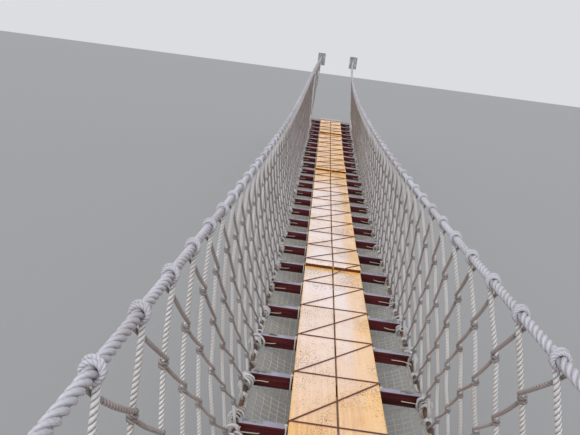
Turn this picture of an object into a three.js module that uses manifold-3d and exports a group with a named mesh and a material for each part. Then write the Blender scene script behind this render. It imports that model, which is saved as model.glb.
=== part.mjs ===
// Rope suspension footbridge: two hand ropes, two foot cables, rope side nets and a plank footway.
// Millimetres, +Z up. X runs across the footway, Y runs along it from the near sill to the far sill.
// The origin is the middle of the near sill's underside.

import * as THREE from 'three';
import { mergeVertices } from 'three/addons/utils/BufferGeometryUtils.js';
import Module from 'manifold-3d';

const wasm = await Module();
wasm.setup();

// Clearance between touching pieces
const GAP = 0.4;
const MERGE_DISTANCE = 1e-4;

// Sills
const SILL_WIDTH = 1300;
const SILL_DEPTH = 500;
const SILL_HEIGHT = 300;
const SILL_CHAMFER = 15;
const PLANK_END_GAP = 5;

// Footway
const BAY = 508;
const BAYS = 41;
const PLANK_OVERHANG = 60;
const PLANK_WIDTH = 225;
const PLANK_THICKNESS = 28;
const PLANK_SEAM = 10;
const DECK_SAG = 354;
// Bays covered by each length of plank, from the near end to the far end
const PLANK_BAYS = [4.5, 7.43, 9, 9, 7.57, 3.5];
const LAP_LENGTH = 90;
const LAP_RAMP = 600;

const BEARER_LENGTH = 920;
const BEARER_WIDTH = 45;
const BEARER_HEIGHT = 75;
const BEARERS_PER_SET = 6;
const LACE_SIZE = 10;
const LACE_INSET = 14;
const LACE_SUNK = 3;
const LACE_PAST_LAST_BEARER = BEARER_WIDTH / 4;

// Cables and ropes
const FOOT_CABLE_RADIUS = 12.5;
const FOOT_CABLE_END_GAP = 1.2;
const HAND_ROPE_RADIUS = 13.5;
const HAND_ROPE_STEPS = 52;
const HAND_HEIGHT = 1066;
const HAND_SAG = 739;
const HAND_SPREAD_MID = 408;
const HAND_SPREAD_END = 430;
// The hand ropes hang to the left of the footway, and come back to its line at the anchors
const HAND_SWAY = 162;
const ROPE_SIDES = 8;

// Side nets
const STRAND_SIZE = 14;
const DIAGONAL_SIZE = 12;
const DIAGONAL_DROP_PER_BAY = 390;
const DIAGONAL_FOOT_GAP = 28;
const SHORTEST_DIAGONAL = 127;
// How far the nets bulge outwards between hand rope and foot cable
const NET_BOW_LEFT = 28;
const NET_BOW_RIGHT = 10;
const NET_LEAD_LEFT = -25;
const NET_LEAD_RIGHT = 40;
const TAPER_STRANDS = 4;
// Strands nearer than this to a plank's end hang from the selvedge, clear of the cable beam
const CABLE_BEAM_CLEARANCE = 42;
const SELVEDGE_START_HEIGHT = 72;
const SELVEDGE_BELOW_ROPE = 120;

// Net slung under the footway
const UNDER_NET_HALF = 455;
const UNDER_NET_THICKNESS = 5;
const UNDER_NET_DEPTH = 130;
const UNDER_NET_COLUMNS = 6;
const UNDER_NET_ROWS = 21;
const UNDER_NET_BELOW_BEARERS = 1.2;
const UNDER_NET_END_GAP = 0.8;

// Anchors
const ANCHOR_HALF = 13050;
const ANCHOR_PLATE = { width: 200, thickness: 15, height: 320 };
const ANCHOR_PLATE_DROP = 60;
const SOCKET_LENGTH = 60;
const HAND_SOCKET_RADIUS = 24;
const SELVEDGE_SOCKET_RADIUS = 18;
const BEAM = { width: 1100, thickness: 15, height: 120 };
const BEAM_SOCKET_RADIUS = 24;
const BEAM_SOCKET_LENGTH = 20;
const SOCKET_SIDES = 12;

// Places worked out from the sizes above
const BEARER_HALF_SPAN = BAY * BAYS / 2;
const DECK_HALF = BEARER_HALF_SPAN + PLANK_OVERHANG;
const SILL_FACE = DECK_HALF + PLANK_END_GAP;
const MID_Y = SILL_DEPTH / 2 + SILL_FACE;
const DECK_LOW = SILL_HEIGHT - DECK_SAG;
const CABLE_X = BEARER_LENGTH / 2 + FOOT_CABLE_RADIUS + GAP;
const CABLE_BELOW_DECK = PLANK_THICKNESS + BEARER_HEIGHT / 2;
const BEARER_MIDDLE_BELOW_DECK = PLANK_THICKNESS + GAP + BEARER_HEIGHT / 2;
const HAND_FLAT = HAND_ROPE_RADIUS * Math.cos(Math.PI / ROPE_SIDES);
const CABLE_FLAT = FOOT_CABLE_RADIUS * Math.cos(Math.PI / ROPE_SIDES);

const MATERIALS = {
  concrete: { color: 0x8f8a8e, roughness: 0.85, metalness: 0 },
  steel: { color: 0x6f7073, roughness: 0.45, metalness: 0.9 },
  rusty_cable: { color: 0x6a4632, roughness: 0.75, metalness: 0.4 },
  hand_rope: { color: 0xa9a3ad, roughness: 0.9, metalness: 0 },
  net_rope: { color: 0xb3aaa2, roughness: 0.92, metalness: 0 },
  bearer_wood: { color: 0x53201b, roughness: 0.45, metalness: 0 },
  plank_wood: { color: 0xd69a5e, roughness: 0.4, metalness: 0 },
  under_net_cord: { color: 0x8f8768, roughness: 0.9, metalness: 0 },
};

const part = new THREE.Group();

function addPiece(name, geometry, material) {
  const mesh = new THREE.Mesh(geometry, new THREE.MeshStandardMaterial(MATERIALS[material]));
  mesh.name = name;
  part.add(mesh);
  return mesh;
}

// Joining solids

function bareGeometry(geometry) {
  const bare = geometry.clone();
  for (const name of Object.keys(bare.attributes)) {
    if (name !== 'position') {
      bare.deleteAttribute(name);
    }
  }
  return mergeVertices(bare, MERGE_DISTANCE);
}

function toSolid(geometry) {
  const bare = bareGeometry(geometry);
  const mesh = new wasm.Mesh({
    numProp: 3,
    vertProperties: new Float32Array(bare.attributes.position.array),
    triVerts: new Uint32Array(bare.index.array),
  });
  return new wasm.Manifold(mesh);
}

function join(geometries) {
  let solid = toSolid(geometries[0]);
  for (const geometry of geometries.slice(1)) {
    solid = solid.add(toSolid(geometry));
  }
  const mesh = solid.getMesh();
  const joined = new THREE.BufferGeometry();
  joined.setAttribute('position', new THREE.BufferAttribute(mesh.vertProperties, 3));
  joined.setIndex(new THREE.BufferAttribute(mesh.triVerts, 1));
  return joined;
}

function reshape(geometry, place) {
  const position = geometry.attributes.position;
  const point = new THREE.Vector3();
  for (let i = 0; i < position.count; i += 1) {
    point.fromBufferAttribute(position, i);
    const moved = place(point.x, point.y, point.z);
    position.setXYZ(i, moved.x, moved.y, moved.z);
  }
  return geometry;
}

// Curves of the bridge; distance is measured along Y from the middle of the span

function deckZ(distance) {
  const share = distance / DECK_HALF;
  return DECK_LOW + DECK_SAG * share * share;
}

function deckSlope(distance) {
  return 2 * DECK_SAG * distance / (DECK_HALF * DECK_HALF);
}

function handPoint(side, distance) {
  const share = distance / ANCHOR_HALF;
  const spread = HAND_SPREAD_MID + (HAND_SPREAD_END - HAND_SPREAD_MID) * share * share;
  const sway = HAND_SWAY * (1 - share ** 4);
  const z = DECK_LOW + HAND_HEIGHT + HAND_SAG * share * share;
  return new THREE.Vector3(side * spread - sway, MID_Y + distance, z);
}

function selvedgeZ(distance) {
  const reach = Math.abs(distance);
  const start = deckZ(DECK_HALF) + SELVEDGE_START_HEIGHT;
  const end = handPoint(1, ANCHOR_HALF).z - SELVEDGE_BELOW_ROPE;
  const share = (reach - BEARER_HALF_SPAN) / (ANCHOR_HALF - BEARER_HALF_SPAN);
  return start + (end - start) * Math.max(share, 0);
}

function isOverDeck(distance) {
  return Math.abs(distance) < DECK_HALF - CABLE_BEAM_CLEARANCE;
}

function netFoot(side, distance) {
  if (isOverDeck(distance)) {
    const highSide = deckZ(Math.abs(distance) + STRAND_SIZE / 2);
    const z = highSide - CABLE_BELOW_DECK + CABLE_FLAT + GAP;
    return new THREE.Vector3(side * CABLE_X, MID_Y + distance, z);
  }
  const reach = Math.abs(distance);
  const share = (reach - BEARER_HALF_SPAN) / (ANCHOR_HALF - BEARER_HALF_SPAN);
  const x = side * (CABLE_X + (HAND_SPREAD_END - CABLE_X) * share);
  return new THREE.Vector3(x, MID_Y + distance, selvedgeZ(distance));
}

class RopeCurve extends THREE.Curve {
  constructor(place, from, to) {
    super();
    this.place = place;
    this.from = from;
    this.to = to;
  }

  getPoint(share, target = new THREE.Vector3()) {
    return target.copy(this.place(this.from + (this.to - this.from) * share));
  }
}

function roundSection(radius, sides) {
  const section = new THREE.Shape();
  for (let i = 0; i < sides; i += 1) {
    const angle = 2 * Math.PI * (i + 0.5) / sides;
    const x = radius * Math.cos(angle);
    const y = radius * Math.sin(angle);
    if (i === 0) {
      section.moveTo(x, y);
    } else {
      section.lineTo(x, y);
    }
  }
  section.closePath();
  return section;
}

function ropeGeometry(curve, radius, steps) {
  const options = { steps, extrudePath: curve, bevelEnabled: false };
  return new THREE.ExtrudeGeometry(roundSection(radius, ROPE_SIDES), options);
}

function socketGeometry(from, to, radius) {
  const axis = new THREE.Vector3().subVectors(to, from);
  const socket = new THREE.CylinderGeometry(radius, radius, axis.length(), SOCKET_SIDES);
  const up = new THREE.Vector3(0, 1, 0);
  const turn = new THREE.Quaternion().setFromUnitVectors(up, axis.clone().normalize());
  socket.applyQuaternion(turn);
  socket.translate((from.x + to.x) / 2, (from.y + to.y) / 2, (from.z + to.z) / 2);
  return socket;
}

// A bar of rectangular side view that follows heights along the bridge

function profileBar(distances, topAt, thickness, width, middleX) {
  const outline = new THREE.Shape();
  distances.forEach((distance, i) => {
    if (i === 0) {
      outline.moveTo(distance, topAt(distance));
    } else {
      outline.lineTo(distance, topAt(distance));
    }
  });
  for (const distance of [...distances].reverse()) {
    outline.lineTo(distance, topAt(distance) - thickness);
  }
  outline.closePath();
  const bar = new THREE.ExtrudeGeometry(outline, { depth: width, bevelEnabled: false });
  bar.rotateX(Math.PI / 2);
  bar.rotateZ(Math.PI / 2);
  bar.translate(middleX - width / 2, MID_Y, 0);
  return bar;
}

// Sills and the steel beams that hold the foot cables

function sillGeometry() {
  const outline = new THREE.Shape();
  const half = SILL_DEPTH / 2;
  outline.moveTo(-half, 0);
  outline.lineTo(half, 0);
  outline.lineTo(half, SILL_HEIGHT - SILL_CHAMFER);
  outline.lineTo(half - SILL_CHAMFER, SILL_HEIGHT);
  outline.lineTo(SILL_CHAMFER - half, SILL_HEIGHT);
  outline.lineTo(-half, SILL_HEIGHT - SILL_CHAMFER);
  outline.closePath();
  const sill = new THREE.ExtrudeGeometry(outline, { depth: SILL_WIDTH, bevelEnabled: false });
  sill.rotateX(Math.PI / 2);
  sill.rotateZ(Math.PI / 2);
  sill.translate(-SILL_WIDTH / 2, 0, 0);
  return sill;
}

function beamGeometry(end) {
  const cableZ = deckZ(DECK_HALF) - CABLE_BELOW_DECK;
  const middle = SILL_FACE - GAP - BEAM.thickness / 2;
  const plankUnderside = deckZ(middle - BEAM.thickness / 2) - PLANK_THICKNESS;
  const plate = new THREE.BoxGeometry(BEAM.width, BEAM.thickness, BEAM.height);
  plate.translate(0, MID_Y + end * middle, plankUnderside - GAP - BEAM.height / 2);
  const solids = [plate];
  for (const side of [-1, 1]) {
    const from = new THREE.Vector3(side * CABLE_X, MID_Y + end * middle, cableZ);
    const reach = middle - BEAM.thickness / 2 - BEAM_SOCKET_LENGTH;
    const to = new THREE.Vector3(side * CABLE_X, MID_Y + end * reach, cableZ);
    solids.push(socketGeometry(from, to, BEAM_SOCKET_RADIUS));
  }
  return join(solids);
}

function addSills() {
  addPiece('near_sill', sillGeometry(), 'concrete');
  const farSill = addPiece('far_sill', sillGeometry(), 'concrete');
  farSill.position.y = 2 * MID_Y;
  addPiece('near_cable_beam', beamGeometry(-1), 'steel');
  addPiece('far_cable_beam', beamGeometry(1), 'steel');
}

// Foot cables and hand ropes, each from one end of the bridge to the other

function addCables() {
  const sides = { left: -1, right: 1 };
  for (const [name, side] of Object.entries(sides)) {
    const reach = SILL_FACE - BEAM.thickness - BEAM_SOCKET_LENGTH - FOOT_CABLE_END_GAP;
    const cablePlace = (distance) => new THREE.Vector3(
      side * CABLE_X, MID_Y + distance, deckZ(distance) - CABLE_BELOW_DECK);
    const cable = new RopeCurve(cablePlace, -reach, reach);
    addPiece(`foot_cable_${name}`, ropeGeometry(cable, FOOT_CABLE_RADIUS, BAYS), 'rusty_cable');
    const handPlace = (distance) => handPoint(side, distance);
    const hand = new RopeCurve(handPlace, -ANCHOR_HALF, ANCHOR_HALF);
    addPiece(`hand_rope_${name}`, ropeGeometry(hand, HAND_ROPE_RADIUS, HAND_ROPE_STEPS), 'hand_rope');
  }
}

// Anchor plates at the ends of the hand ropes

function anchorGeometry(side, end) {
  const ropeEnd = handPoint(side, end * ANCHOR_HALF);
  const before = handPoint(side, end * (ANCHOR_HALF - 1));
  const along = new THREE.Vector3().subVectors(ropeEnd, before).normalize();
  const plateFront = ANCHOR_HALF + SOCKET_LENGTH;
  const plate = new THREE.BoxGeometry(ANCHOR_PLATE.width, ANCHOR_PLATE.thickness, ANCHOR_PLATE.height);
  const plateY = MID_Y + end * (plateFront + ANCHOR_PLATE.thickness / 2);
  plate.translate(ropeEnd.x, plateY, ropeEnd.z - ANCHOR_PLATE_DROP);
  const handFrom = ropeEnd.clone().addScaledVector(along, GAP);
  const handTo = ropeEnd.clone().addScaledVector(along, SOCKET_LENGTH + ANCHOR_PLATE.thickness / 2);
  const handSocket = socketGeometry(handFrom, handTo, HAND_SOCKET_RADIUS);
  const selvedgeEnd = netFoot(side, end * ANCHOR_HALF);
  const selvedgeTo = selvedgeEnd.clone();
  selvedgeTo.y += end * (SOCKET_LENGTH + ANCHOR_PLATE.thickness / 2);
  const selvedgeSocket = socketGeometry(selvedgeEnd, selvedgeTo, SELVEDGE_SOCKET_RADIUS);
  return join([plate, handSocket, selvedgeSocket]);
}

function addAnchors() {
  const ends = { near: -1, far: 1 };
  const sides = { left: -1, right: 1 };
  for (const [endName, end] of Object.entries(ends)) {
    for (const [sideName, side] of Object.entries(sides)) {
      addPiece(`${endName}_anchor_${sideName}`, anchorGeometry(side, end), 'steel');
    }
  }
}

// Bearers, in sets tied by the lacing cords along their ends

function bearerSetGeometry(first, last) {
  const distances = [];
  for (let i = first; i <= last; i += 1) {
    distances.push(i * BAY - BEARER_HALF_SPAN);
  }
  const solids = distances.map((distance) => {
    const bearer = new THREE.BoxGeometry(BEARER_LENGTH, BEARER_WIDTH, BEARER_HEIGHT);
    bearer.rotateX(Math.atan(deckSlope(distance)));
    bearer.translate(0, MID_Y + distance, deckZ(distance) - BEARER_MIDDLE_BELOW_DECK);
    return bearer;
  });
  const isFirstSet = first === 0;
  const isLastSet = last === BAYS;
  const laceFrom = distances[0] - (isFirstSet ? LACE_PAST_LAST_BEARER : BAY / 2 - GAP);
  const laceTo = distances.at(-1) + (isLastSet ? LACE_PAST_LAST_BEARER : BAY / 2 - GAP);
  const laceTop = (distance) => deckZ(distance) - PLANK_THICKNESS - GAP + LACE_SIZE - LACE_SUNK;
  const stations = [laceFrom, ...distances.slice(isFirstSet ? 1 : 0, isLastSet ? -1 : undefined), laceTo];
  for (const side of [-1, 1]) {
    const laceX = side * (BEARER_LENGTH / 2 - LACE_INSET);
    solids.push(profileBar(stations, laceTop, LACE_SIZE, LACE_SIZE, laceX));
  }
  return join(solids);
}

function addBearers() {
  const sets = (BAYS + 1) / BEARERS_PER_SET;
  for (let set = 0; set < sets; set += 1) {
    const first = set * BEARERS_PER_SET;
    const last = first + BEARERS_PER_SET - 1;
    addPiece(`bearers_${set + 1}`, bearerSetGeometry(first, last), 'bearer_wood');
  }
}

// Planks: the near end of each length lies on the far end of the length before it

function plankGeometry(from, to, isLapped, middleX) {
  const start = isLapped ? from - LAP_LENGTH : from;
  const distances = [start];
  if (isLapped) {
    distances.push(from + LAP_LENGTH / 2);
  }
  const firstBearer = Math.ceil((from + LAP_LENGTH + BEARER_HALF_SPAN) / BAY);
  for (let i = firstBearer; i * BAY - BEARER_HALF_SPAN < to - BEARER_WIDTH; i += 1) {
    distances.push(i * BAY - BEARER_HALF_SPAN);
  }
  distances.push(to);
  const lift = (distance) => {
    if (!isLapped) {
      return 0;
    }
    const share = (distance - from - LAP_LENGTH) / LAP_RAMP;
    return (PLANK_THICKNESS + 2 * GAP) * Math.min(1, Math.max(0, 1 - share));
  };
  const top = (distance) => deckZ(distance) + lift(distance);
  return profileBar(distances, top, PLANK_THICKNESS, PLANK_WIDTH, middleX);
}

function addPlanks() {
  let from = -DECK_HALF;
  PLANK_BAYS.forEach((bays, i) => {
    const isLast = i === PLANK_BAYS.length - 1;
    const isFirst = i === 0;
    const to = isLast ? DECK_HALF : from + bays * BAY + (isFirst ? PLANK_OVERHANG : 0);
    for (const [name, side] of [['left', -1], ['right', 1]]) {
      const middleX = side * (PLANK_WIDTH + PLANK_SEAM) / 2;
      addPiece(`plank_${name}_${i + 1}`, plankGeometry(from, to, !isFirst, middleX), 'plank_wood');
    }
    from = to;
  });
}

// Side nets: laid out flat as along, down and out, then hung between hand rope and foot cable

function netHang(side, distance) {
  const rope = handPoint(side, distance);
  const foot = netFoot(side, distance);
  const down = new THREE.Vector3(foot.x - rope.x, 0, foot.z - rope.z).normalize();
  const lean = Math.abs(down.x);
  const start = (HAND_FLAT + GAP + STRAND_SIZE / 2 * lean) / Math.abs(down.z);
  const top = rope.clone().addScaledVector(down, start);
  const height = Math.hypot(foot.x - top.x, foot.z - top.z) - STRAND_SIZE / 2 * lean;
  return { top, down, height };
}

function hangNetPoint(side, distance, drop, out) {
  const { top, down, height } = netHang(side, distance);
  const share = drop / height;
  const fullBow = side < 0 ? NET_BOW_LEFT : NET_BOW_RIGHT;
  const bow = isOverDeck(distance) ? fullBow : 0;
  const point = top.clone().addScaledVector(down, drop);
  point.x += side * bow * 4 * share * (1 - share) + out * down.z;
  point.z -= out * down.x;
  return point;
}

function flatBar(from, to, size) {
  const length = Math.hypot(to[0] - from[0], to[1] - from[1]);
  const bar = new THREE.BoxGeometry(length, size, size);
  bar.rotateZ(Math.atan2(to[1] - from[1], to[0] - from[0]));
  bar.translate((from[0] + to[0]) / 2, (from[1] + to[1]) / 2, 0);
  return bar;
}

function diagonalEnd(side, start) {
  const slope = DIAGONAL_DROP_PER_BAY / BAY;
  const step = 10;
  let reach = 0;
  let isInside = true;
  while (isInside) {
    reach += step;
    const distance = start + reach;
    const room = distance < ANCHOR_HALF - step ? netHang(side, distance).height : 0;
    isInside = reach * slope < room - DIAGONAL_FOOT_GAP;
  }
  return reach - step;
}

function sideNetGeometry(side, lead) {
  const slope = DIAGONAL_DROP_PER_BAY / BAY;
  const strands = [];
  for (let i = -TAPER_STRANDS; i <= BAYS + TAPER_STRANDS; i += 1) {
    strands.push(i * BAY - BEARER_HALF_SPAN + lead);
  }
  const bars = [];
  for (const distance of strands) {
    const { height } = netHang(side, distance);
    bars.push(flatBar([distance, 0], [distance, height], STRAND_SIZE));
  }
  for (const distance of strands) {
    const reach = diagonalEnd(side, distance);
    if (reach > SHORTEST_DIAGONAL) {
      const from = [distance, DIAGONAL_SIZE];
      const to = [distance + reach, DIAGONAL_SIZE + reach * slope];
      bars.push(flatBar(from, to, DIAGONAL_SIZE));
    }
  }
  for (const end of [-1, 1]) {
    bars.push(...selvedgeBars(side, end, strands));
  }
  return reshape(join(bars), (distance, drop, out) => hangNetPoint(side, distance, drop, out));
}

function selvedgeBars(side, end, strands) {
  const inOrder = end > 0 ? strands : [...strands].reverse();
  const taper = inOrder.filter((distance) => end * distance > 0 && !isOverDeck(distance));
  const lastOnDeck = inOrder.filter((distance) => end * distance > 0 && isOverDeck(distance)).at(-1);
  const hang = netHang(side, lastOnDeck);
  const startDrop = (hang.top.z - selvedgeZ(lastOnDeck)) / Math.abs(hang.down.z);
  const points = [[lastOnDeck, startDrop]];
  for (const distance of taper) {
    points.push([distance, netHang(side, distance).height - DIAGONAL_SIZE / 2]);
  }
  const anchorDistance = end * (ANCHOR_HALF - DIAGONAL_SIZE / 4 - GAP);
  points.push([anchorDistance, netHang(side, anchorDistance).height]);
  const bars = [];
  for (let i = 1; i < points.length; i += 1) {
    bars.push(flatBar(points[i - 1], points[i], DIAGONAL_SIZE));
  }
  return bars;
}

function addSideNets() {
  addPiece('side_net_left', sideNetGeometry(-1, NET_LEAD_LEFT), 'net_rope');
  addPiece('side_net_right', sideNetGeometry(1, NET_LEAD_RIGHT), 'net_rope');
}

// Net slung from foot cable to foot cable under the bearers

function addUnderNet() {
  const half = SILL_FACE - BEAM.thickness - UNDER_NET_END_GAP;
  const sheet = new THREE.BoxGeometry(
    2 * UNDER_NET_HALF, 2 * half, UNDER_NET_THICKNESS, UNDER_NET_COLUMNS, UNDER_NET_ROWS, 1);
  const bearerUnderside = PLANK_THICKNESS + GAP + BEARER_HEIGHT;
  reshape(sheet, (x, distance, z) => {
    const share = x / UNDER_NET_HALF;
    const hang = UNDER_NET_DEPTH * (1 - share * share);
    const top = deckZ(distance) - bearerUnderside - UNDER_NET_BELOW_BEARERS - hang;
    return new THREE.Vector3(x, MID_Y + distance, top - UNDER_NET_THICKNESS / 2 + z);
  });
  addPiece('under_net', sheet, 'under_net_cord');
}

addSills();
addCables();
addAnchors();
addBearers();
addPlanks();
addSideNets();
addUnderNet();

export default part;
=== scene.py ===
import functools
import math
from typing import NamedTuple

import bpy
import numpy as np
from mathutils import Matrix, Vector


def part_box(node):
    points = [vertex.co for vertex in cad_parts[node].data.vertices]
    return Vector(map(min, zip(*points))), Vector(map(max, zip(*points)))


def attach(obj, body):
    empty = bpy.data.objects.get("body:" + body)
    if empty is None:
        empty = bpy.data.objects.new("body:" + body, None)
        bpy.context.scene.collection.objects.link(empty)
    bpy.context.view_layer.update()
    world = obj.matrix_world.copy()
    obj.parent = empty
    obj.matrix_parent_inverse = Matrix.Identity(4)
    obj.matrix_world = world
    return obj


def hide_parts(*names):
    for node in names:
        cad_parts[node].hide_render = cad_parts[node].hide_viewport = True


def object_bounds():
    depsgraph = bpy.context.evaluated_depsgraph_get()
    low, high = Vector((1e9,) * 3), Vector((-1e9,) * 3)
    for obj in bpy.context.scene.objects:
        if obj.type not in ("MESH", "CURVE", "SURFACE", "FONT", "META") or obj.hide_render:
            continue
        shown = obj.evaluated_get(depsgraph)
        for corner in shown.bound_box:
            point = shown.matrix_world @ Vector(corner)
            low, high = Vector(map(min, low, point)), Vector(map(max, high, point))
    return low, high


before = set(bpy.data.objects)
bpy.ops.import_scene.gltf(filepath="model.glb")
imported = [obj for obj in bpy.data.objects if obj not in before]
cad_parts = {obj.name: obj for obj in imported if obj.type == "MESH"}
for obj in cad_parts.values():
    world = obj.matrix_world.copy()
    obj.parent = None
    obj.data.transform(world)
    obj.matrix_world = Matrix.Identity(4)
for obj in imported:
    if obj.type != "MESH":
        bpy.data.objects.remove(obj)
CAD_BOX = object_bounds()

bl_info = {
    "name": "Rope Footbridge",
    "version": (1, 0, 0),
    "blender": (4, 5, 0),
    "location": "3D View > Sidebar > Footbridge",
    "description": "Dresses the rope suspension footbridge with laid ropes, knots, netting and wet timber",
    "category": "Add Mesh",
}

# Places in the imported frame, in metres


def half_length(first, last):
    """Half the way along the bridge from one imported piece's near end to another's far end."""
    return (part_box(last)[1].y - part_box(first)[0].y) / 2


MIDDLE_Y = (CAD_BOX[0].y + CAD_BOX[1].y) / 2
ANCHOR_HALF = half_length("hand_rope_left", "hand_rope_left")
DECK_HALF = half_length("plank_left_1", "plank_left_6")
CABLE_HALF = half_length("foot_cable_left", "foot_cable_left")
UNDER_NET_HALF = half_length("under_net", "under_net")
SILL_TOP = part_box("near_sill")[1].z
GAP = 0.0004
SIDES = {"left": -1, "right": 1}
ENDS = {"near": -1, "far": 1}
X_AXIS, Y_AXIS, Z_AXIS = (1, 0, 0), (0, 1, 0), (0, 0, 1)
TURN = 2.0 * np.pi
SEEDS = {"knots": 11, "strands": 23, "diagonals": 31, "lashings": 59, "ties": 67, "cords": 71, "loops": 73,
         "boards": 83}


# Sizes and colours that a user may change


def metres(name, text, value):
    """A size property in metres."""
    return bpy.props.FloatProperty(name=name, description=text, default=value, unit="LENGTH")


class FOOTBRIDGE_PG_sizes(bpy.types.PropertyGroup):
    """Sizes of the bridge's own pieces, in metres."""

    bay: metres("Bay", "Distance from one bearer to the next", 0.508)
    bays: bpy.props.IntProperty(
        name="Bays", description="Number of bays between the first and the last bearer", default=41)
    deck_sag: metres("Footway sag", "Drop of the planks from a sill to mid span", 0.354)
    plank_width: metres("Plank width", "Width of one board", 0.225)
    plank_thickness: metres("Plank thickness", "Thickness of one board", 0.028)
    plank_seam: metres("Seam", "Gap between the two rows of boards", 0.010)
    bearer_length: metres("Bearer length", "Length of a cross timber", 0.920)
    bearer_width: metres("Bearer width", "Thickness of a cross timber along the bridge", 0.045)
    bearer_height: metres("Bearer height", "Height of a cross timber", 0.075)
    hand_rope: metres("Hand rope", "Diameter of a hand rope", 0.027)
    hand_lay: metres("Hand rope lay", "Length in which a strand goes once round", 0.084)
    strand: metres("Net strand", "Diameter of an upright net rope", 0.014)
    diagonal: metres("Net diagonal", "Diameter of a slanting net cord", 0.012)
    foot_cable: metres("Foot cable", "Diameter of a foot cable", 0.025)
    mesh_size: metres("Under net mesh", "Width of one mesh of the net under the footway", 0.043)
    floor_z: metres("Floor", "Height of the studio floor", -0.46)


def colour(name, text, value):
    """A colour property of three linear channels."""
    return bpy.props.FloatVectorProperty(
        name=name, description=text, default=value, subtype="COLOR", size=3, min=0.0, max=1.0)


class FOOTBRIDGE_PG_finishes(bpy.types.PropertyGroup):
    """Colours of the bridge's finishes."""

    hand_rope: colour("Hand rope", "Lilac grey of the hand ropes", (0.54, 0.532, 0.59))
    strand: colour("Net strand", "Grey white of the upright net ropes", (0.775, 0.765, 0.77))
    diagonal: colour("Net diagonal", "Brown grey of the slanting net cords", (0.50, 0.455, 0.46))
    rust: colour("Rust", "Brown of the foot cables", (0.105, 0.060, 0.042))
    lacing: colour("Lacing", "White of the thin lacing cords", (0.78, 0.76, 0.72))
    lashing: colour("Lashing", "Brown of the cord over the planks", (0.17, 0.065, 0.058))
    under_net: colour("Under net", "Olive beige of the netting cord", (0.66, 0.61, 0.47))
    bearer: colour("Bearer", "Dark red of the cross timbers", (0.062, 0.010, 0.012))
    plank: colour("Plank", "Orange of the boards", (0.98, 0.55, 0.235))
    concrete: colour("Concrete", "Violet grey of the sills", (0.25, 0.235, 0.26))
    steel: colour("Steel", "Grey of the anchors and beams", (0.33, 0.335, 0.35))
    floor: colour("Floor", "Pale grey of the studio floor", (0.30, 0.30, 0.305))


# Curves of the bridge


def stacked(*parts):
    """Points whose coordinates are arrays or numbers of shapes that fit each other."""
    return np.stack(np.broadcast_arrays(*parts), axis=-1)


def unit(vectors):
    """Each vector divided by its own length."""
    return vectors / np.linalg.norm(vectors, axis=-1, keepdims=True)


def ease(share):
    """Goes from 0 to 1 as 3 s squared minus 2 s cubed."""
    s = np.clip(share, 0.0, 1.0)
    return s * s * (3.0 - 2.0 * s)


def kept(spots, limit):
    """Distances held between minus the limit and the limit."""
    return np.clip(spots, -limit, limit)


def seeded(kind, number=0):
    """Random numbers that come out the same on each run."""
    return np.random.default_rng(SEEDS[kind] + number)


def wander(random, count, steps, size):
    """Smooth unevenness along a path: the sum of three sines with random sizes and phases."""
    share = np.linspace(0.0, 1.0, steps)
    phase = random.uniform(0.0, TURN, (count, 3, 1))
    height = random.uniform(0.2, 1.0, (count, 3, 1)) * size
    waves = np.array([1.0, 2.3, 4.1])[:, None]
    return (height * np.sin(TURN * waves * share + phase)).sum(axis=1)


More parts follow.
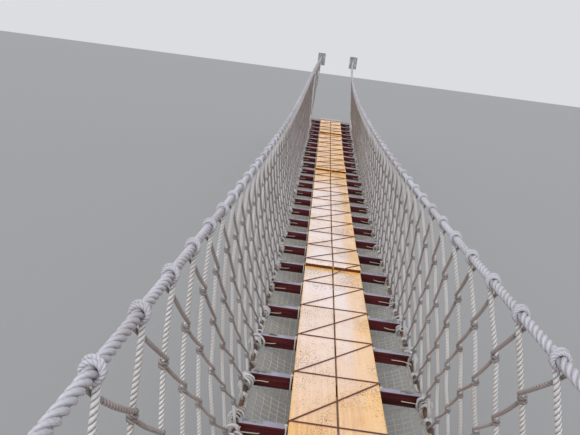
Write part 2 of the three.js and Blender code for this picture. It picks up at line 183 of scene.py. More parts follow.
class Span:
    """The bridge's curves as functions of the distance along it from mid span, in metres."""

    # Hand ropes: height over the planks at mid span, sag, half the way between them, sway to the left
    hand_height = 1.066
    hand_sag = 0.739
    spread_middle = 0.408
    spread_end = 0.430
    sway = 0.162

    # Side nets: outward bow and shift of the strands by side, drop of a slanting cord from strand to strand
    # and at its own, half its hitch, bays past the footway, room at the beam, start of the edge cord over the
    # planks and its end below the hand rope, room at the anchor
    net_bow = {-1: 0.028, 1: 0.010}
    net_lead = {-1: -0.025, 1: 0.040}
    crossing_drop = 0.195
    first_drop = 0.026
    hitch_half = 0.0110
    taper_bays = 4
    beam_clearance = 0.042
    edge_start = 0.072
    edge_below_rope = 0.120
    anchor_room = 0.020

    # Under net and planks: hang and gap under the bearers, bays of each length of plank, lap and its ramp
    under_net_depth = 0.130
    under_net_gap = 0.0015
    plank_bays = (4.5, 7.43, 9, 9, 7.57, 3.5)
    lap = 0.090
    lap_ramp = 0.600

    def __init__(self, sizes):
        self.sizes = sizes
        self.bearer_half_span = sizes.bay * sizes.bays / 2
        self.deck_low = SILL_TOP - sizes.deck_sag
        self.cable_x = sizes.bearer_length / 2 + sizes.foot_cable / 2 + GAP
        self.cable_below_deck = sizes.plank_thickness + sizes.bearer_height / 2
        self.bearer_below_deck = self.cable_below_deck + GAP

    def bearers(self):
        """Distances of the bearers, one bay apart."""
        return np.arange(self.sizes.bays + 1) * self.sizes.bay - self.bearer_half_span

    def deck_z(self, distance):
        """A parabola: lowest height plus sag times the square of distance over half length."""
        return self.deck_low + self.sizes.deck_sag * (distance / DECK_HALF) ** 2

    def deck_slope(self, distance):
        """Slope of that parabola."""
        return 2.0 * self.sizes.deck_sag * distance / DECK_HALF ** 2

    def plank_starts(self):
        """Distances at which each length of plank takes over from the one before it."""
        reach = np.cumsum(self.plank_bays)[:-1] * self.sizes.bay
        overhang = DECK_HALF - self.bearer_half_span
        return np.concatenate([[-DECK_HALF], reach + overhang - DECK_HALF])

    def lift_from(self, start, distance):
        """Rise of a lapped plank: one thickness at its near end, down to nothing along the ramp."""
        share = (distance - start - self.lap) / self.lap_ramp
        return (self.sizes.plank_thickness + 2 * GAP) * np.clip(1.0 - share, 0.0, 1.0)

    def walked_z(self, distance):
        """Height of the top face underfoot, laps included."""
        height = self.deck_z(distance)
        starts = self.plank_starts()[1:]
        ends = np.append(starts[1:], DECK_HALF) - self.lap
        for start, end in zip(starts, ends):
            inside = (distance >= start - self.lap) & (distance < end)
            height = height + np.where(inside, self.lift_from(start, distance), 0.0)
        return height

    def hand(self, side, distance):
        """Hand rope: x is the spread less the sway, z a parabola from the lowest point up to the anchors."""
        share = distance / ANCHOR_HALF
        spread = self.spread_middle + (self.spread_end - self.spread_middle) * share ** 2
        x = side * spread - self.sway * (1.0 - share ** 4)
        return stacked(x, MIDDLE_Y + distance, self.deck_low + self.hand_height + self.hand_sag * share ** 2)

    def cable(self, side, distance):
        """Foot cable: level with the bearers' middles, just outside their ends."""
        z = self.deck_z(distance) - self.cable_below_deck
        return stacked(side * self.cable_x, MIDDLE_Y + distance, z)

    def is_over_deck(self, distance):
        """Whether a strand there hangs over the footway, with its foot on the cable."""
        return np.abs(distance) < DECK_HALF - self.beam_clearance

    def edge(self, side, distance):
        """Edge cord of a side net: level over the footway's end, then straight up to the anchor."""
        share = (np.abs(distance) - self.bearer_half_span) / (ANCHOR_HALF - self.bearer_half_span)
        share = np.clip(share, 0.0, 1.0)
        low = self.deck_z(DECK_HALF) + self.edge_start
        high = self.hand(1, ANCHOR_HALF)[2] - self.edge_below_rope
        x = side * (self.cable_x + (self.spread_end - self.cable_x) * share)
        return stacked(x, MIDDLE_Y + distance, low + (high - low) * share)

    def foot(self, side, distance):
        """Lower end of the strands: on the foot cable over the footway, on the edge cord past it."""
        point = self.edge(side, distance)
        on_cable = self.deck_z(distance) - self.cable_below_deck + self.sizes.foot_cable / 2
        point[..., 2] = np.where(self.is_over_deck(distance), on_cable, point[..., 2])
        return point

    def net(self, side, distance, drop, inward):
        """A point of a side net: down the line from hand rope to foot, bowed outwards by a parabola."""
        rope = self.hand(side, distance)
        line = self.foot(side, distance) - rope
        share = drop / np.linalg.norm(line, axis=-1)
        bow = np.where(self.is_over_deck(distance), self.net_bow[side], 0.0) * 4.0 * share * (1.0 - share)
        point = rope + line * share[..., None]
        point[..., 0] += side * (bow - inward)
        return point

    def net_height(self, side, distance):
        """Length of the line from hand rope to foot."""
        return np.linalg.norm(self.foot(side, distance) - self.hand(side, distance), axis=-1)

    def stations(self, side):
        """Distances of the knots on a hand rope, half a bay apart."""
        steps = np.arange(-2 * self.taper_bays, 2 * (self.sizes.bays + self.taper_bays) + 1)
        return steps * self.sizes.bay / 2 - self.bearer_half_span + self.net_lead[side]

    def sheet_z(self, across, distance):
        """Under net: a parabola across, hung from the bearers' undersides."""
        share = across / (self.sizes.bearer_length / 2)
        hang = self.under_net_depth * (1.0 - share ** 2)
        under_bearers = self.deck_z(distance) - self.sizes.plank_thickness - self.sizes.bearer_height
        return under_bearers - hang - self.under_net_gap


# Surfaces


class Shell:
    """Points, faces, face coordinates and marks of one piece, gathered from several surfaces."""

    def __init__(self):
        self.points, self.faces, self.coordinates, self.marks = [], [], [], []
        self.count = 0

    def add_rings(self, rings, mark=0.0, around=None):
        """Rings of points (piece, ring, point, xyz), each joined to the next, with flat ends. A face's
        coordinates are the share of the way round, or the one given, and the metres along."""
        pieces, length, sides = rings.shape[:3]
        index = self.count + np.arange(pieces * length * sides).reshape(pieces, length, sides)
        beside = np.roll(index, -1, axis=2)
        quads = stacked(index[:, :-1], beside[:, :-1], beside[:, 1:], index[:, 1:])
        steps = np.linalg.norm(np.diff(rings.mean(axis=2), axis=1), axis=-1)
        run = np.concatenate([np.zeros((pieces, 1)), np.cumsum(steps, axis=1)], axis=1)[..., None]
        turn = np.arange(sides + 1) / sides if around is None else around
        u = stacked(turn[:-1], turn[1:], turn[1:], turn[:-1])
        v = stacked(run[:, :-1], run[:, :-1], run[:, 1:], run[:, 1:])
        ends = np.concatenate([index[:, 0, ::-1], index[:, -1]])
        self.faces += [quads.reshape(-1, 4), ends]
        self.coordinates += [stacked(u, v), np.zeros(ends.shape + (2,))]
        self.points.append(rings.reshape(-1, 3))
        self.marks.append(np.broadcast_to(mark, rings.shape[:3]).reshape(-1))
        self.count += rings.size // 3
        return self

    def add_tubes(self, paths, radius, sides, reference, mark=0.0):
        """Round tubes along paths (piece, step, xyz): centre plus radius times cos a across, sin a over."""
        return self.add_rings(round_rings(paths, radius, np.arange(sides) * TURN / sides, reference), mark)

    def build(self, name, crisp, sharp_degrees=50):
        """The gathered surfaces as one Blender mesh."""
        mesh = bpy.data.meshes.new(name)
        points = np.concatenate(self.points).astype(np.float32)
        corners = np.concatenate([faces.ravel() for faces in self.faces]).astype(np.int32)
        sizes = np.concatenate([np.full(len(faces), faces.shape[1]) for faces in self.faces])
        starts = np.concatenate([[0], np.cumsum(sizes)[:-1]]).astype(np.int32)
        mesh.vertices.add(len(points))
        mesh.vertices.foreach_set("co", points.ravel())
        mesh.loops.add(len(corners))
        mesh.loops.foreach_set("vertex_index", corners)
        mesh.polygons.add(len(starts))
        mesh.polygons.foreach_set("loop_start", starts)
        mesh.update(calc_edges=True)
        coordinates = np.concatenate([uv.reshape(-1, 2) for uv in self.coordinates]).astype(np.float32)
        mesh.uv_layers.new(name="lay").data.foreach_set("uv", coordinates.ravel())
        mark = mesh.attributes.new("mark", "FLOAT", "POINT")
        mark.data.foreach_set("value", np.concatenate(self.marks).astype(np.float32))
        mesh.shade_smooth()
        if crisp:
            mesh.set_sharp_from_angle(angle=math.radians(sharp_degrees))
        return mesh


def round_rings(paths, radius, angle, reference):
    """Rings round each path: across is the reference crossed with the path's direction, over is square to
    both, and a point is the centre plus radius times cos a across and sin a over."""
    along = unit(np.gradient(paths, axis=1))
    across = unit(np.cross(np.asarray(reference, float), along))
    over = np.cross(along, across)
    radius = np.asarray(radius, float)[..., None]
    cosine = np.cos(angle)[..., None]
    sine = np.sin(angle)[..., None]
    return paths[:, :, None] + radius * (cosine * across[:, :, None] + sine * over[:, :, None])


def rounded_outline(width, height, corner, arc=(0.0, 45.0, 90.0), between=((), (), (), ())):
    """Points round a rectangle from low on its right side: each corner is a quarter circle with points at the
    angles of the arc, and the side after it has more points at the shares given for it."""
    half = np.array([width / 2 - corner, height / 2 - corner])
    corners = []
    for quadrant, signs in enumerate([(1, -1), (1, 1), (-1, 1), (-1, -1)]):
        angle = np.radians(np.add(arc, 90.0 * (quadrant - 1)))
        corners.append(stacked(np.cos(angle), np.sin(angle)) * corner + half * signs)
    outline = []
    for start, end, shares in zip(corners, corners[1:] + corners[:1], between):
        outline += [start, start[-1] + (end[0] - start[-1]) * np.reshape(shares, (-1, 1))]
    return np.concatenate(outline)


def place(shell, name, finish, slot, *stands_for, crisp=False):
    """Makes a piece of the shell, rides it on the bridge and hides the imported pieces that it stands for."""
    mesh = shell.build(name, crisp)
    mesh.materials.append(material(finish))
    piece = bpy.data.objects.new(name, mesh)
    bpy.context.scene.collection.objects.link(piece)
    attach(piece, "root")
    if stands_for:
        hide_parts(*stands_for)


# Shader effects


class Nodes:
    """Adds shader nodes to one tree and joins their sockets."""

    def __init__(self, tree):
        self.tree = tree

    def add(self, kind, inputs=None, **settings):
        """Adds a node, changes its settings and then feeds its inputs."""
        node = self.tree.nodes.new(kind)
        for key, value in settings.items():
            setattr(node, key, value)
        for key, value in (inputs or {}).items():
            self.feed(node.inputs[key], value)
        return node

    def feed(self, socket, value):
        """Joins a socket to another, or sets its own value."""
        if isinstance(value, bpy.types.NodeSocket):
            self.tree.links.new(value, socket)
        else:
            socket.default_value = value

    def math(self, operation, first, second=0.0):
        return self.add("ShaderNodeMath", {0: first, 1: second}, operation=operation).outputs[0]

    def plus(self, first, second):
        return self.math("ADD", first, second)

    def times(self, first, second):
        return self.math("MULTIPLY", first, second)

    def ramp(self, value, low, high, to_low=0.0, to_high=1.0):
        ends = {"Value": value, "From Min": low, "From Max": high, "To Min": to_low, "To Max": to_high}
        return self.add("ShaderNodeMapRange", ends, interpolation_type="SMOOTHSTEP").outputs["Result"]

    def mix(self, share, first, second):
        node = self.add("ShaderNodeMix", data_type="RGBA")
        self.feed(node.inputs["Factor"], share)
        for socket, value in ((node.inputs[6], first), (node.inputs[7], second)):
            self.feed(socket, value if isinstance(value, bpy.types.NodeSocket) else (*value[:3], 1.0))
        return node.outputs[2]

    def layers(self, base, *covers):
        """Colours laid over the base one after another, each by its share."""
        for share, cover in covers:
            base = self.mix(share, base, cover)
        return base

    def noise(self, vector, scale, detail, roughness=0.55):
        inputs = {"Vector": vector, "Scale": scale, "Detail": detail, "Roughness": roughness}
        return self.add("ShaderNodeTexNoise", inputs).outputs["Fac"]

    def own_place(self):
        return self.add("ShaderNodeTexCoord").outputs["Object"]

    def mark(self):
        return self.add("ShaderNodeAttribute", attribute_name="mark").outputs["Fac"]

    def split(self, vector):
        return self.add("ShaderNodeSeparateXYZ", {0: vector}).outputs

    def effect(self, make, **inputs):
        tree = bpy.data.node_groups.get(label(make.__name__)) or new_effect(make)
        inputs = {label(key): value for key, value in inputs.items()}
        return self.add("ShaderNodeGroup", inputs, node_tree=tree).outputs

    def bump(self, height, strength, distance, **normal):
        inputs = {"Height": height, "Strength": strength, "Distance": distance, **normal}
        return self.add("ShaderNodeBump", inputs).outputs["Normal"]


def label(key):
    """A name in this file as Blender shows it."""
    return key.replace("_", " ").capitalize()


def new_effect(make):
    """A node group made by a function that is given its nodes and inputs and returns its outputs by name. The
    inputs' names and defaults are those of the function."""
    tree = bpy.data.node_groups.new(label(make.__name__), "ShaderNodeTree")
    for key, default in make.__kwdefaults__.items():
        socket = tree.interface.new_socket(label(key), in_out="INPUT", socket_type="NodeSocketFloat")
        socket.default_value = default
    nodes = Nodes(tree)
    given = nodes.add("NodeGroupInput").outputs
    results = make(nodes, **{key: given[label(key)] for key in make.__kwdefaults__})
    for key in results:
        tree.interface.new_socket(key, in_out="OUTPUT", socket_type="NodeSocketFloat")
    nodes.add("NodeGroupOutput", results)
    return tree


def rope_lay(nodes, *, strands=3.0, winds=33.0, yarns=9.0, yarn_winds=60.0, groove_width=0.38):
    """Laid rope: strands wind round the rope, yarns wind the other way inside them.
    Phase is strands times the way round less winds times the way along; height is its half sine."""
    u, v = nodes.split(nodes.add("ShaderNodeUVMap", uv_map="lay").outputs["UV"])[:2]
    phase = nodes.math("SUBTRACT", nodes.times(u, strands), nodes.times(v, winds))
    crest = nodes.math("SINE", nodes.times(nodes.math("FRACT", phase), math.pi))
    yarn = nodes.plus(nodes.times(u, yarns), nodes.times(v, yarn_winds))
    yarn = nodes.math("ABSOLUTE", nodes.math("SINE", nodes.times(yarn, math.pi)))
    return {"Height": nodes.plus(nodes.times(crest, 0.85), nodes.times(yarn, 0.15)),
            "Groove": nodes.ramp(crest, 0.05, groove_width, 1.0, 0.0)}


def weathering(nodes, *, broad=3.0, fine=160.0):
    """Stains and fluff: broad noise for stains, fine noise for worn fibres or pores."""
    point = nodes.own_place()
    return {"Stain": nodes.ramp(nodes.noise(point, broad, 4.0), 0.35, 0.68),
            "Fibre": nodes.noise(point, fine, 2.0, 0.7)}


def wood_grain(nodes, *, scale_x=60.0, scale_y=1.6, scale_z=60.0):
    """Sawn wood: noise drawn out along the board makes the grain, a wave of it the year rings."""
    point = nodes.own_place()
    scale = nodes.add("ShaderNodeCombineXYZ", {"X": scale_x, "Y": scale_y, "Z": scale_z}).outputs[0]
    drawn = nodes.add("ShaderNodeVectorMath", {0: point, 1: scale}, operation="MULTIPLY").outputs[0]
    rings = nodes.plus(nodes.times(nodes.noise(drawn, 0.28, 2.0), 9.0),
                       nodes.times(nodes.noise(point, 2.2, 2.0), 4.0))
    return {"Grain": nodes.noise(drawn, 1.0, 5.0, 0.6),
            "Rings": nodes.math("ABSOLUTE", nodes.math("SINE", nodes.times(rings, math.pi))),
            "Pores": nodes.ramp(nodes.noise(drawn, 3.5, 2.0, 0.7), 0.60, 0.74)}


def speckles(nodes, *, size=130.0, patches=3.0, least=0.70):
    """Dark specks: fine noise over a threshold, more of them where broad noise is high."""
    point = nodes.own_place()
    more = nodes.ramp(nodes.noise(point, patches, 2.0), 0.35, 0.7, 0.0, 0.13)
    fine = nodes.plus(nodes.noise(point, size, 2.0, 0.6), more)
    return {"Specks": nodes.ramp(fine, least, nodes.plus(least, 0.06))}


# Finishes


def tone(tint, factor, warm=0.0):
    """A colour made lighter or darker, and first shifted towards brown."""
    warmed = (min(1.0, tint[0] * (1 + warm)), tint[1], tint[2] * (1 - warm))
    return tuple(min(1.0, channel * factor) for channel in warmed)


class Rope(NamedTuple):
    """How a rope is laid and worn: its colour and shade of it, strand crests and yarns passed in a metre
    along it, yarns round it, metres of relief, and how strong dirt is and how strong and wide the painted
    shade in the grooves is."""

    tint: str
    winds: float
    yarns: float
    yarn_winds: float
    depth: float
    shade: float = 1.0
    dirt: float = 0.5
    groove: float = 0.75
    width: float = 0.38


# groove sets how strong the painted shade in the grooves between strands is, and width how far up the strands
# it reaches.
ROPES = {
    "Left hand rope": Rope("hand_rope", 0.0, 27.0, 55.0, 0.002, dirt=0.6, groove=0.62, width=0.6),
    "Right hand rope": Rope("hand_rope", 0.0, 27.0, 55.0, 0.002, dirt=0.6, groove=0.34, width=0.6),
    "Hand rope knot": Rope("hand_rope", 140.0, 15.0, 130.0, 0.0016, shade=0.95, groove=0.4),
    "Net strand": Rope("strand", 74.0, 12.0, 90.0, 0.0038, groove=0.85, width=0.55),
    "Net diagonal": Rope("diagonal", 48.0, 12.0, 60.0, 0.0032, dirt=0.7, groove=0.95, width=0.55),
    "Foot rope": Rope("strand", 90.0, 12.0, 90.0, 0.003, shade=0.80, dirt=0.7),
    "White lacing": Rope("lacing", 170.0, 9.0, 120.0, 0.001, dirt=0.35),
    "Plank lashing": Rope("lashing", 120.0, 9.0, 90.0, 0.0016, dirt=0.4),
    "Netting cord": Rope("under_net", 160.0, 9.0, 120.0, 0.001),
}


def laid_rope(rope, nodes, finishes):
    """Weathered rope: paler crests and painted shade in the darker grooves, broad grime and loose fibres;
    painted shade darkest where it is marked, in and beside the knots."""
    tint = tone(getattr(finishes, rope.tint), rope.shade)
    height, groove = nodes.effect(rope_lay, winds=rope.winds, yarns=rope.yarns, yarn_winds=rope.yarn_winds,
                                  groove_width=rope.width)
    stain, fibre = nodes.effect(weathering, broad=2.6, fine=420.0)
    base = nodes.layers(
        tint,
        (nodes.times(stain, rope.dirt), tone(tint, 0.62, 0.10)),
        (nodes.ramp(fibre, 0.45, 0.75, 0.0, 0.55), tone(tint, 1.3)),
        # Painted shade: the grooves between strands darkened to about a quarter of the tint.
        (nodes.times(groove, rope.groove), tone(tint, 0.24, 0.12)),
        # Painted shade in and beside the knots and in the hitches, where the mark is.
        (nodes.times(nodes.mark(), 0.6), tone(tint, 0.26, 0.06)))
    fluff = nodes.bump(fibre, 0.35, 0.0008)
    return {"Base Color": base, "Normal": nodes.bump(height, 0.9, rope.depth, Normal=fluff),
            "Roughness": 0.88, "Specular IOR Level": 0.25, "Sheen Weight": 0.15}


def rusted_cable(nodes, finishes):
    """Rusted wire rope: six strands, orange rust on the crests, near black between them."""
    bare_steel, groove_black = (0.30, 0.27, 0.26), (0.018, 0.012, 0.010)
    height, groove = nodes.effect(rope_lay, strands=6.0, winds=42.0, yarns=36.0, yarn_winds=90.0)
    stain, fibre = nodes.effect(weathering, broad=9.0, fine=300.0)
    base = nodes.layers(
        finishes.rust,
        (stain, tone(finishes.rust, 1.9, 0.25)),
        (nodes.ramp(fibre, 0.5, 0.8, 0.0, 0.6), bare_steel),
        # Near black in the grooves between the strands.
        (nodes.times(groove, 0.85), groove_black))
    return {"Base Color": base, "Normal": nodes.bump(height, 1.0, 0.004), "Roughness": 0.7, "Metallic": 0.35}


def wet_red_hardwood(nodes, finishes):
    """Wet dark red hardwood, grain across the bridge, with a painted pale sky reflection on the wet upper
    faces.
    """
    wet_sky_reflection = (0.37, 0.355, 0.45)
    grain, _, pores = nodes.effect(wood_grain, scale_x=1.8, scale_y=55.0, scale_z=55.0)
    stain, fibre = nodes.effect(weathering, broad=5.0, fine=120.0)
    base = nodes.layers(
        tone(finishes.bearer, 0.6),
        (nodes.ramp(grain, 0.35, 0.65), tone(finishes.bearer, 1.7, 0.05)),
        (nodes.times(pores, 0.7), tone(finishes.bearer, 0.25)),
        # Painted reflection: the pale sky on the wet upper faces, patchy by the stain noise.
        (nodes.times(nodes.mark(), nodes.ramp(stain, 0.0, 1.0, 0.75, 0.96)), wet_sky_reflection))
    return {"Base Color": base, "Roughness": nodes.ramp(fibre, 0.3, 0.7, 0.25, 0.5), "Coat Weight": 0.08,
            "Normal": nodes.bump(grain, 0.4, 0.0012), "Coat Roughness": 0.2, "Specular IOR Level": 0.18}


def wet_orange_softwood(nodes, finishes):
    """Wet orange softwood: drawn out grain, a painted pale sky sheen about mid span with some random paler
    wash, except along the right edge, which is amber; yellow edges with a painted highlight, dark specks,
    brown sawn ends without gloss, darkened further by painted shade."""
    amber, sheen_and_wash, yellow = (1.0, 0.60, 0.23), (0.93, 0.80, 0.76), (1.0, 0.58, 0.12)
    speck, end_grain_and_shade = (0.12, 0.055, 0.035), (0.080, 0.011, 0.007)
    sky_sheen_middle = MIDDLE_Y + 1.05
    grain, rings, _ = nodes.effect(wood_grain, scale_x=48.0, scale_y=1.3, scale_z=48.0)
    stain, fibre = nodes.effect(weathering, broad=2.4, fine=90.0)
    specks = nodes.effect(speckles, size=135.0, patches=3.2, least=0.664)[0]
    x, y = nodes.split(nodes.own_place())[:2]
    from_middle = nodes.math("ABSOLUTE", nodes.math("SUBTRACT", y, sky_sheen_middle))
    across = nodes.plus(x, nodes.ramp(stain, 0.0, 1.0, -0.02, 0.02))
    # Painted sky sheen: a pale reflection of the sky about mid span, weaker along the right edge.
    sky_sheen = nodes.times(nodes.ramp(from_middle, 1.9, 3.5, 0.78, 0.06),
                           nodes.ramp(across, 0.08, 0.16, 1.0, 0.30))
    mark = nodes.mark()
    end = nodes.ramp(mark, 1.2, 2.0)
    base = nodes.layers(
        tone(finishes.plank, 0.74, 0.05),
        (nodes.ramp(grain, 0.30, 0.70), tone(finishes.plank, 1.08)),
        (nodes.ramp(rings, 0.2, 0.9, 0.22, 0.0), tone(finishes.plank, 0.55, 0.1)),
        (nodes.ramp(across, 0.08, 0.16, 0.10, 0.62), amber),
        # Pale pink white: the painted sky sheen, plus a random paler wash by the stain noise.
        (nodes.plus(sky_sheen, nodes.ramp(stain, 0.0, 1.0, -0.08, 0.22)), sheen_and_wash),
        # Yellow on the marked edges, a painted highlight on the arrises broken up by fibre noise, and on the
        # strip before the next board's end.
        (nodes.times(nodes.ramp(mark, 0.0, 1.0, 0.0, 0.92), nodes.ramp(fibre, 0.35, 0.6, 0.6, 1.0)), yellow),
        (nodes.times(specks, 0.9), speck),
        # Sawn ends: dark end grain, darkened further as painted shade on the end faces.
        (nodes.times(end, 0.96), end_grain_and_shade))
    return {"Base Color": base, "Normal": nodes.bump(grain, 0.28, 0.0012), "Specular IOR Level": 0.25,
            "Roughness": nodes.math("MAXIMUM", nodes.ramp(stain, 0.0, 1.0, 0.24, 0.46), end),
            "Coat Weight": nodes.ramp(mark, 1.2, 2.0, 0.12, 0.0), "Coat Roughness": 0.15}


def wet_concrete(nodes, finishes):
    """Rough wet concrete: blotches, pores, and a paler worn strip past the ends of the planks."""
    trodden = (0.46, 0.44, 0.43)
    stain, fibre = nodes.effect(weathering, broad=6.0, fine=70.0)
    specks = nodes.effect(speckles, size=85.0, patches=9.0)[0]
    base = nodes.layers(
        tone(finishes.concrete, 0.68),
        (stain, tone(finishes.concrete, 1.3)),
        (nodes.ramp(fibre, 0.35, 0.7, 0.0, 0.6), tone(finishes.concrete, 1.75, 0.06)),
        (nodes.times(nodes.mark(), 0.6), trodden),
        (nodes.times(specks, 0.75), tone(finishes.concrete, 0.25)))
    return {"Base Color": base, "Roughness": nodes.ramp(stain, 0.0, 1.0, 0.42, 0.78),
            "Normal": nodes.bump(fibre, 0.6, 0.004), "Coat Weight": 0.15, "Coat Roughness": 0.25}


def galvanised_steel(nodes, finishes):
    """Galvanised steel: mottled zinc grey with white bloom and rust in patches."""
    bloom, rust = (0.55, 0.56, 0.58), (0.20, 0.085, 0.035)
    stain, fibre = nodes.effect(weathering, broad=14.0, fine=60.0)
    patches = nodes.effect(speckles, size=30.0, patches=6.0)[0]
    base = nodes.layers(
        tone(finishes.steel, 0.75),
        (stain, tone(finishes.steel, 1.3)),
        (nodes.ramp(fibre, 0.5, 0.7, 0.0, 0.5), bloom),
        (nodes.times(patches, 0.85), rust))
    return {"Base Color": base, "Roughness": nodes.ramp(fibre, 0.3, 0.7, 0.38, 0.62),
            "Normal": nodes.bump(fibre, 0.25, 0.0015), "Metallic": 0.8}


def studio_floor(nodes, finishes):
    """Plain pale studio floor with a very slight unevenness in tone."""
    stain = nodes.effect(weathering, broad=0.3, fine=6.0)[0]
    base = nodes.mix(nodes.times(stain, 0.04), finishes.floor, tone(finishes.floor, 0.9))
    return {"Base Color": base, "Roughness": 0.9}


SURFACES = (rusted_cable, wet_red_hardwood, wet_orange_softwood, wet_concrete, galvanised_steel, studio_floor)
FINISHES = {label(make.__name__): make for make in SURFACES}
FINISHES |= {name: functools.partial(laid_rope, rope) for name, rope in ROPES.items()}


def material(name):
    """The material of that name, made on its first use: its function is given its nodes and the colours, and
    returns what feeds the shader; what is the same all over is set on the shader's own sockets."""
    if name not in bpy.data.materials:
        made = bpy.data.materials.new(name)
        made.use_nodes = True
        nodes = Nodes(made.node_tree)
        shader = nodes.tree.nodes["Principled BSDF"].inputs
        for socket, value in FINISHES[name](nodes, bpy.context.scene.footbridge_finishes).items():
            nodes.feed(shader[socket], value)
    return bpy.data.materials[name]


# Pieces of rope


def hand_rope(span, side):
    """Three-strand rope: rings every 9 mm turn once per lay, and at angle a from a strand's crest their
    radius is b cos a plus the root of c squared less b squared sin squared a, three round strands in a ring.
    Its mark, painted shade beside the knots, is 1 at each knot and fades as the exponential of minus the
    distance over 24 mm, squared."""
    ring_step, knot_shade_reach, strand_share = 0.009, 0.024, 0.52
    from_crest = np.array([-60.0, -42.0, -16.0, 16.0, 42.0])
    distance = np.linspace(-ANCHOR_HALF, ANCHOR_HALF, int(2 * ANCHOR_HALF / ring_step))
    crest = np.radians(from_crest)
    outer = span.sizes.hand_rope / 2
    c, b = strand_share * outer, (1.0 - strand_share) * outer
    radius = np.tile(b * np.cos(crest) + np.sqrt(c ** 2 - (b * np.sin(crest)) ** 2), 3)
    angle = np.radians((from_crest + 120.0 * np.arange(3)[:, None]).ravel())
    twist = TURN * distance / span.sizes.hand_lay
    rings = round_rings(span.hand(side, distance)[None], radius, angle + twist[:, None], Z_AXIS)
    # Painted shade beside each knot: the mark fades with the distance to the nearest knot.
    from_knot = np.abs(distance[:, None] - span.stations(side)).min(axis=1)
    around = np.append((np.degrees(angle) + 60.0) / 360.0, 1.0)
    return Shell().add_rings(rings, np.exp(-(from_knot / knot_shade_reach) ** 2)[:, None], around)


def hitches(curve, side, distance, phase, radius, cord, steps, sides):
    """Clove hitches round a rope of the radius given, as tubes: two and a quarter turns, the middle one
    crossing over the first. The angle runs evenly, the way along and the rise follow the turns listed."""
    turns = np.array([-60.0, 90.0, 250.0, 340.0, 430.0, 520.0, 610.0, 760.0])
    slide = np.array([-0.55, -0.55, -0.95, -0.8, 0.0, 0.8, 0.95, 0.5]) * cord
    rise = np.array([0.0, 0.0, 0.0, 0.15, 0.5, 0.15, 0.0, -0.1]) * cord
    near, sunk = 0.01, 0.22
    along = unit(curve(side, distance + near) - curve(side, distance - near))[:, None]
    across = -side * unit(np.cross(along, Z_AXIS))
    over = unit(np.cross(X_AXIS, along))
    angle = np.linspace(turns[0], turns[-1], steps)
    turn = (np.radians(angle) + phase[:, None])[..., None]
    reach = (radius + sunk * cord + np.interp(angle, turns, rise))[:, None]
    paths = curve(side, distance)[:, None] + np.interp(angle, turns, slide)[:, None] * along
    return paths + reach * (np.cos(turn) * across + np.sin(turn) * over), cord / 2, sides, along


def hand_rope_knots(span, side):
    """The hitches that hold the net to a hand rope, one every half bay."""
    cord = 0.80 * span.sizes.strand
    distance = span.stations(side)
    phase = seeded("knots", side).normal(0.0, 0.2, len(distance))
    core = span.sizes.hand_rope / 2
    return Shell().add_tubes(*hitches(span.hand, side, distance, phase, core, cord, 34, 6))


def net_strands(span, side):
    """Upright net ropes: they leave a hand rope on its inner side, hang bowed outwards to the foot, and
    wander along and across by sines that are nothing at both ends."""
    steps, sides = 22, 7
    first_share, inward, inward_share = 0.014, 0.009, 0.2
    wander_along, wander_across = 0.0032, 0.0026
    random = seeded("strands", side)
    distance = span.stations(side)
    share = np.linspace(first_share, 1.0, steps)
    drop = span.net_height(side, distance)[:, None] * share
    paths = span.net(side, distance[:, None], drop, inward * np.clip(1.0 - share / inward_share, 0.0, 1.0))
    held = np.sin(np.pi * share)
    paths[..., 1] += wander(random, len(distance), steps, wander_along) * held
    paths[..., 0] += wander(random, len(distance), steps, wander_across) * held
    return Shell().add_tubes(paths, span.sizes.strand / 2, sides, Y_AXIS)


def passed_strands(span, side, distance):
    """How many strands each slanting cord passes, how much of the next half bay it still covers before it
    meets the net's lower edge, and whether it gets there; if not, a short end is left past its last
    strand."""
    most, room_at_strand, room_at_edge, nearest, short_end = 8, 0.05, 0.012, 0.03, 0.14

    def room(counts):
        """Height of the cord over the net's lower edge after that many half bays."""
        spots = distance[:, None] + counts * span.sizes.bay / 2
        height = np.where(spots < ANCHOR_HALF - span.anchor_room, span.net_height(side, spots), 0.0)
        return height - counts * span.crossing_drop - span.first_drop

    passed = np.cumprod(room(np.arange(1, most + 1)) > room_at_strand, axis=1).sum(axis=1)
    tries = np.linspace(0.0, 1.0, 41)
    left = room(passed[:, None] + tries)
    last = np.maximum(np.cumprod(left > room_at_edge, axis=1).sum(axis=1) - 1, 0)
    tied = left[np.arange(len(distance)), last] < nearest
    return passed, np.where(tied, tries[last], short_end), tied


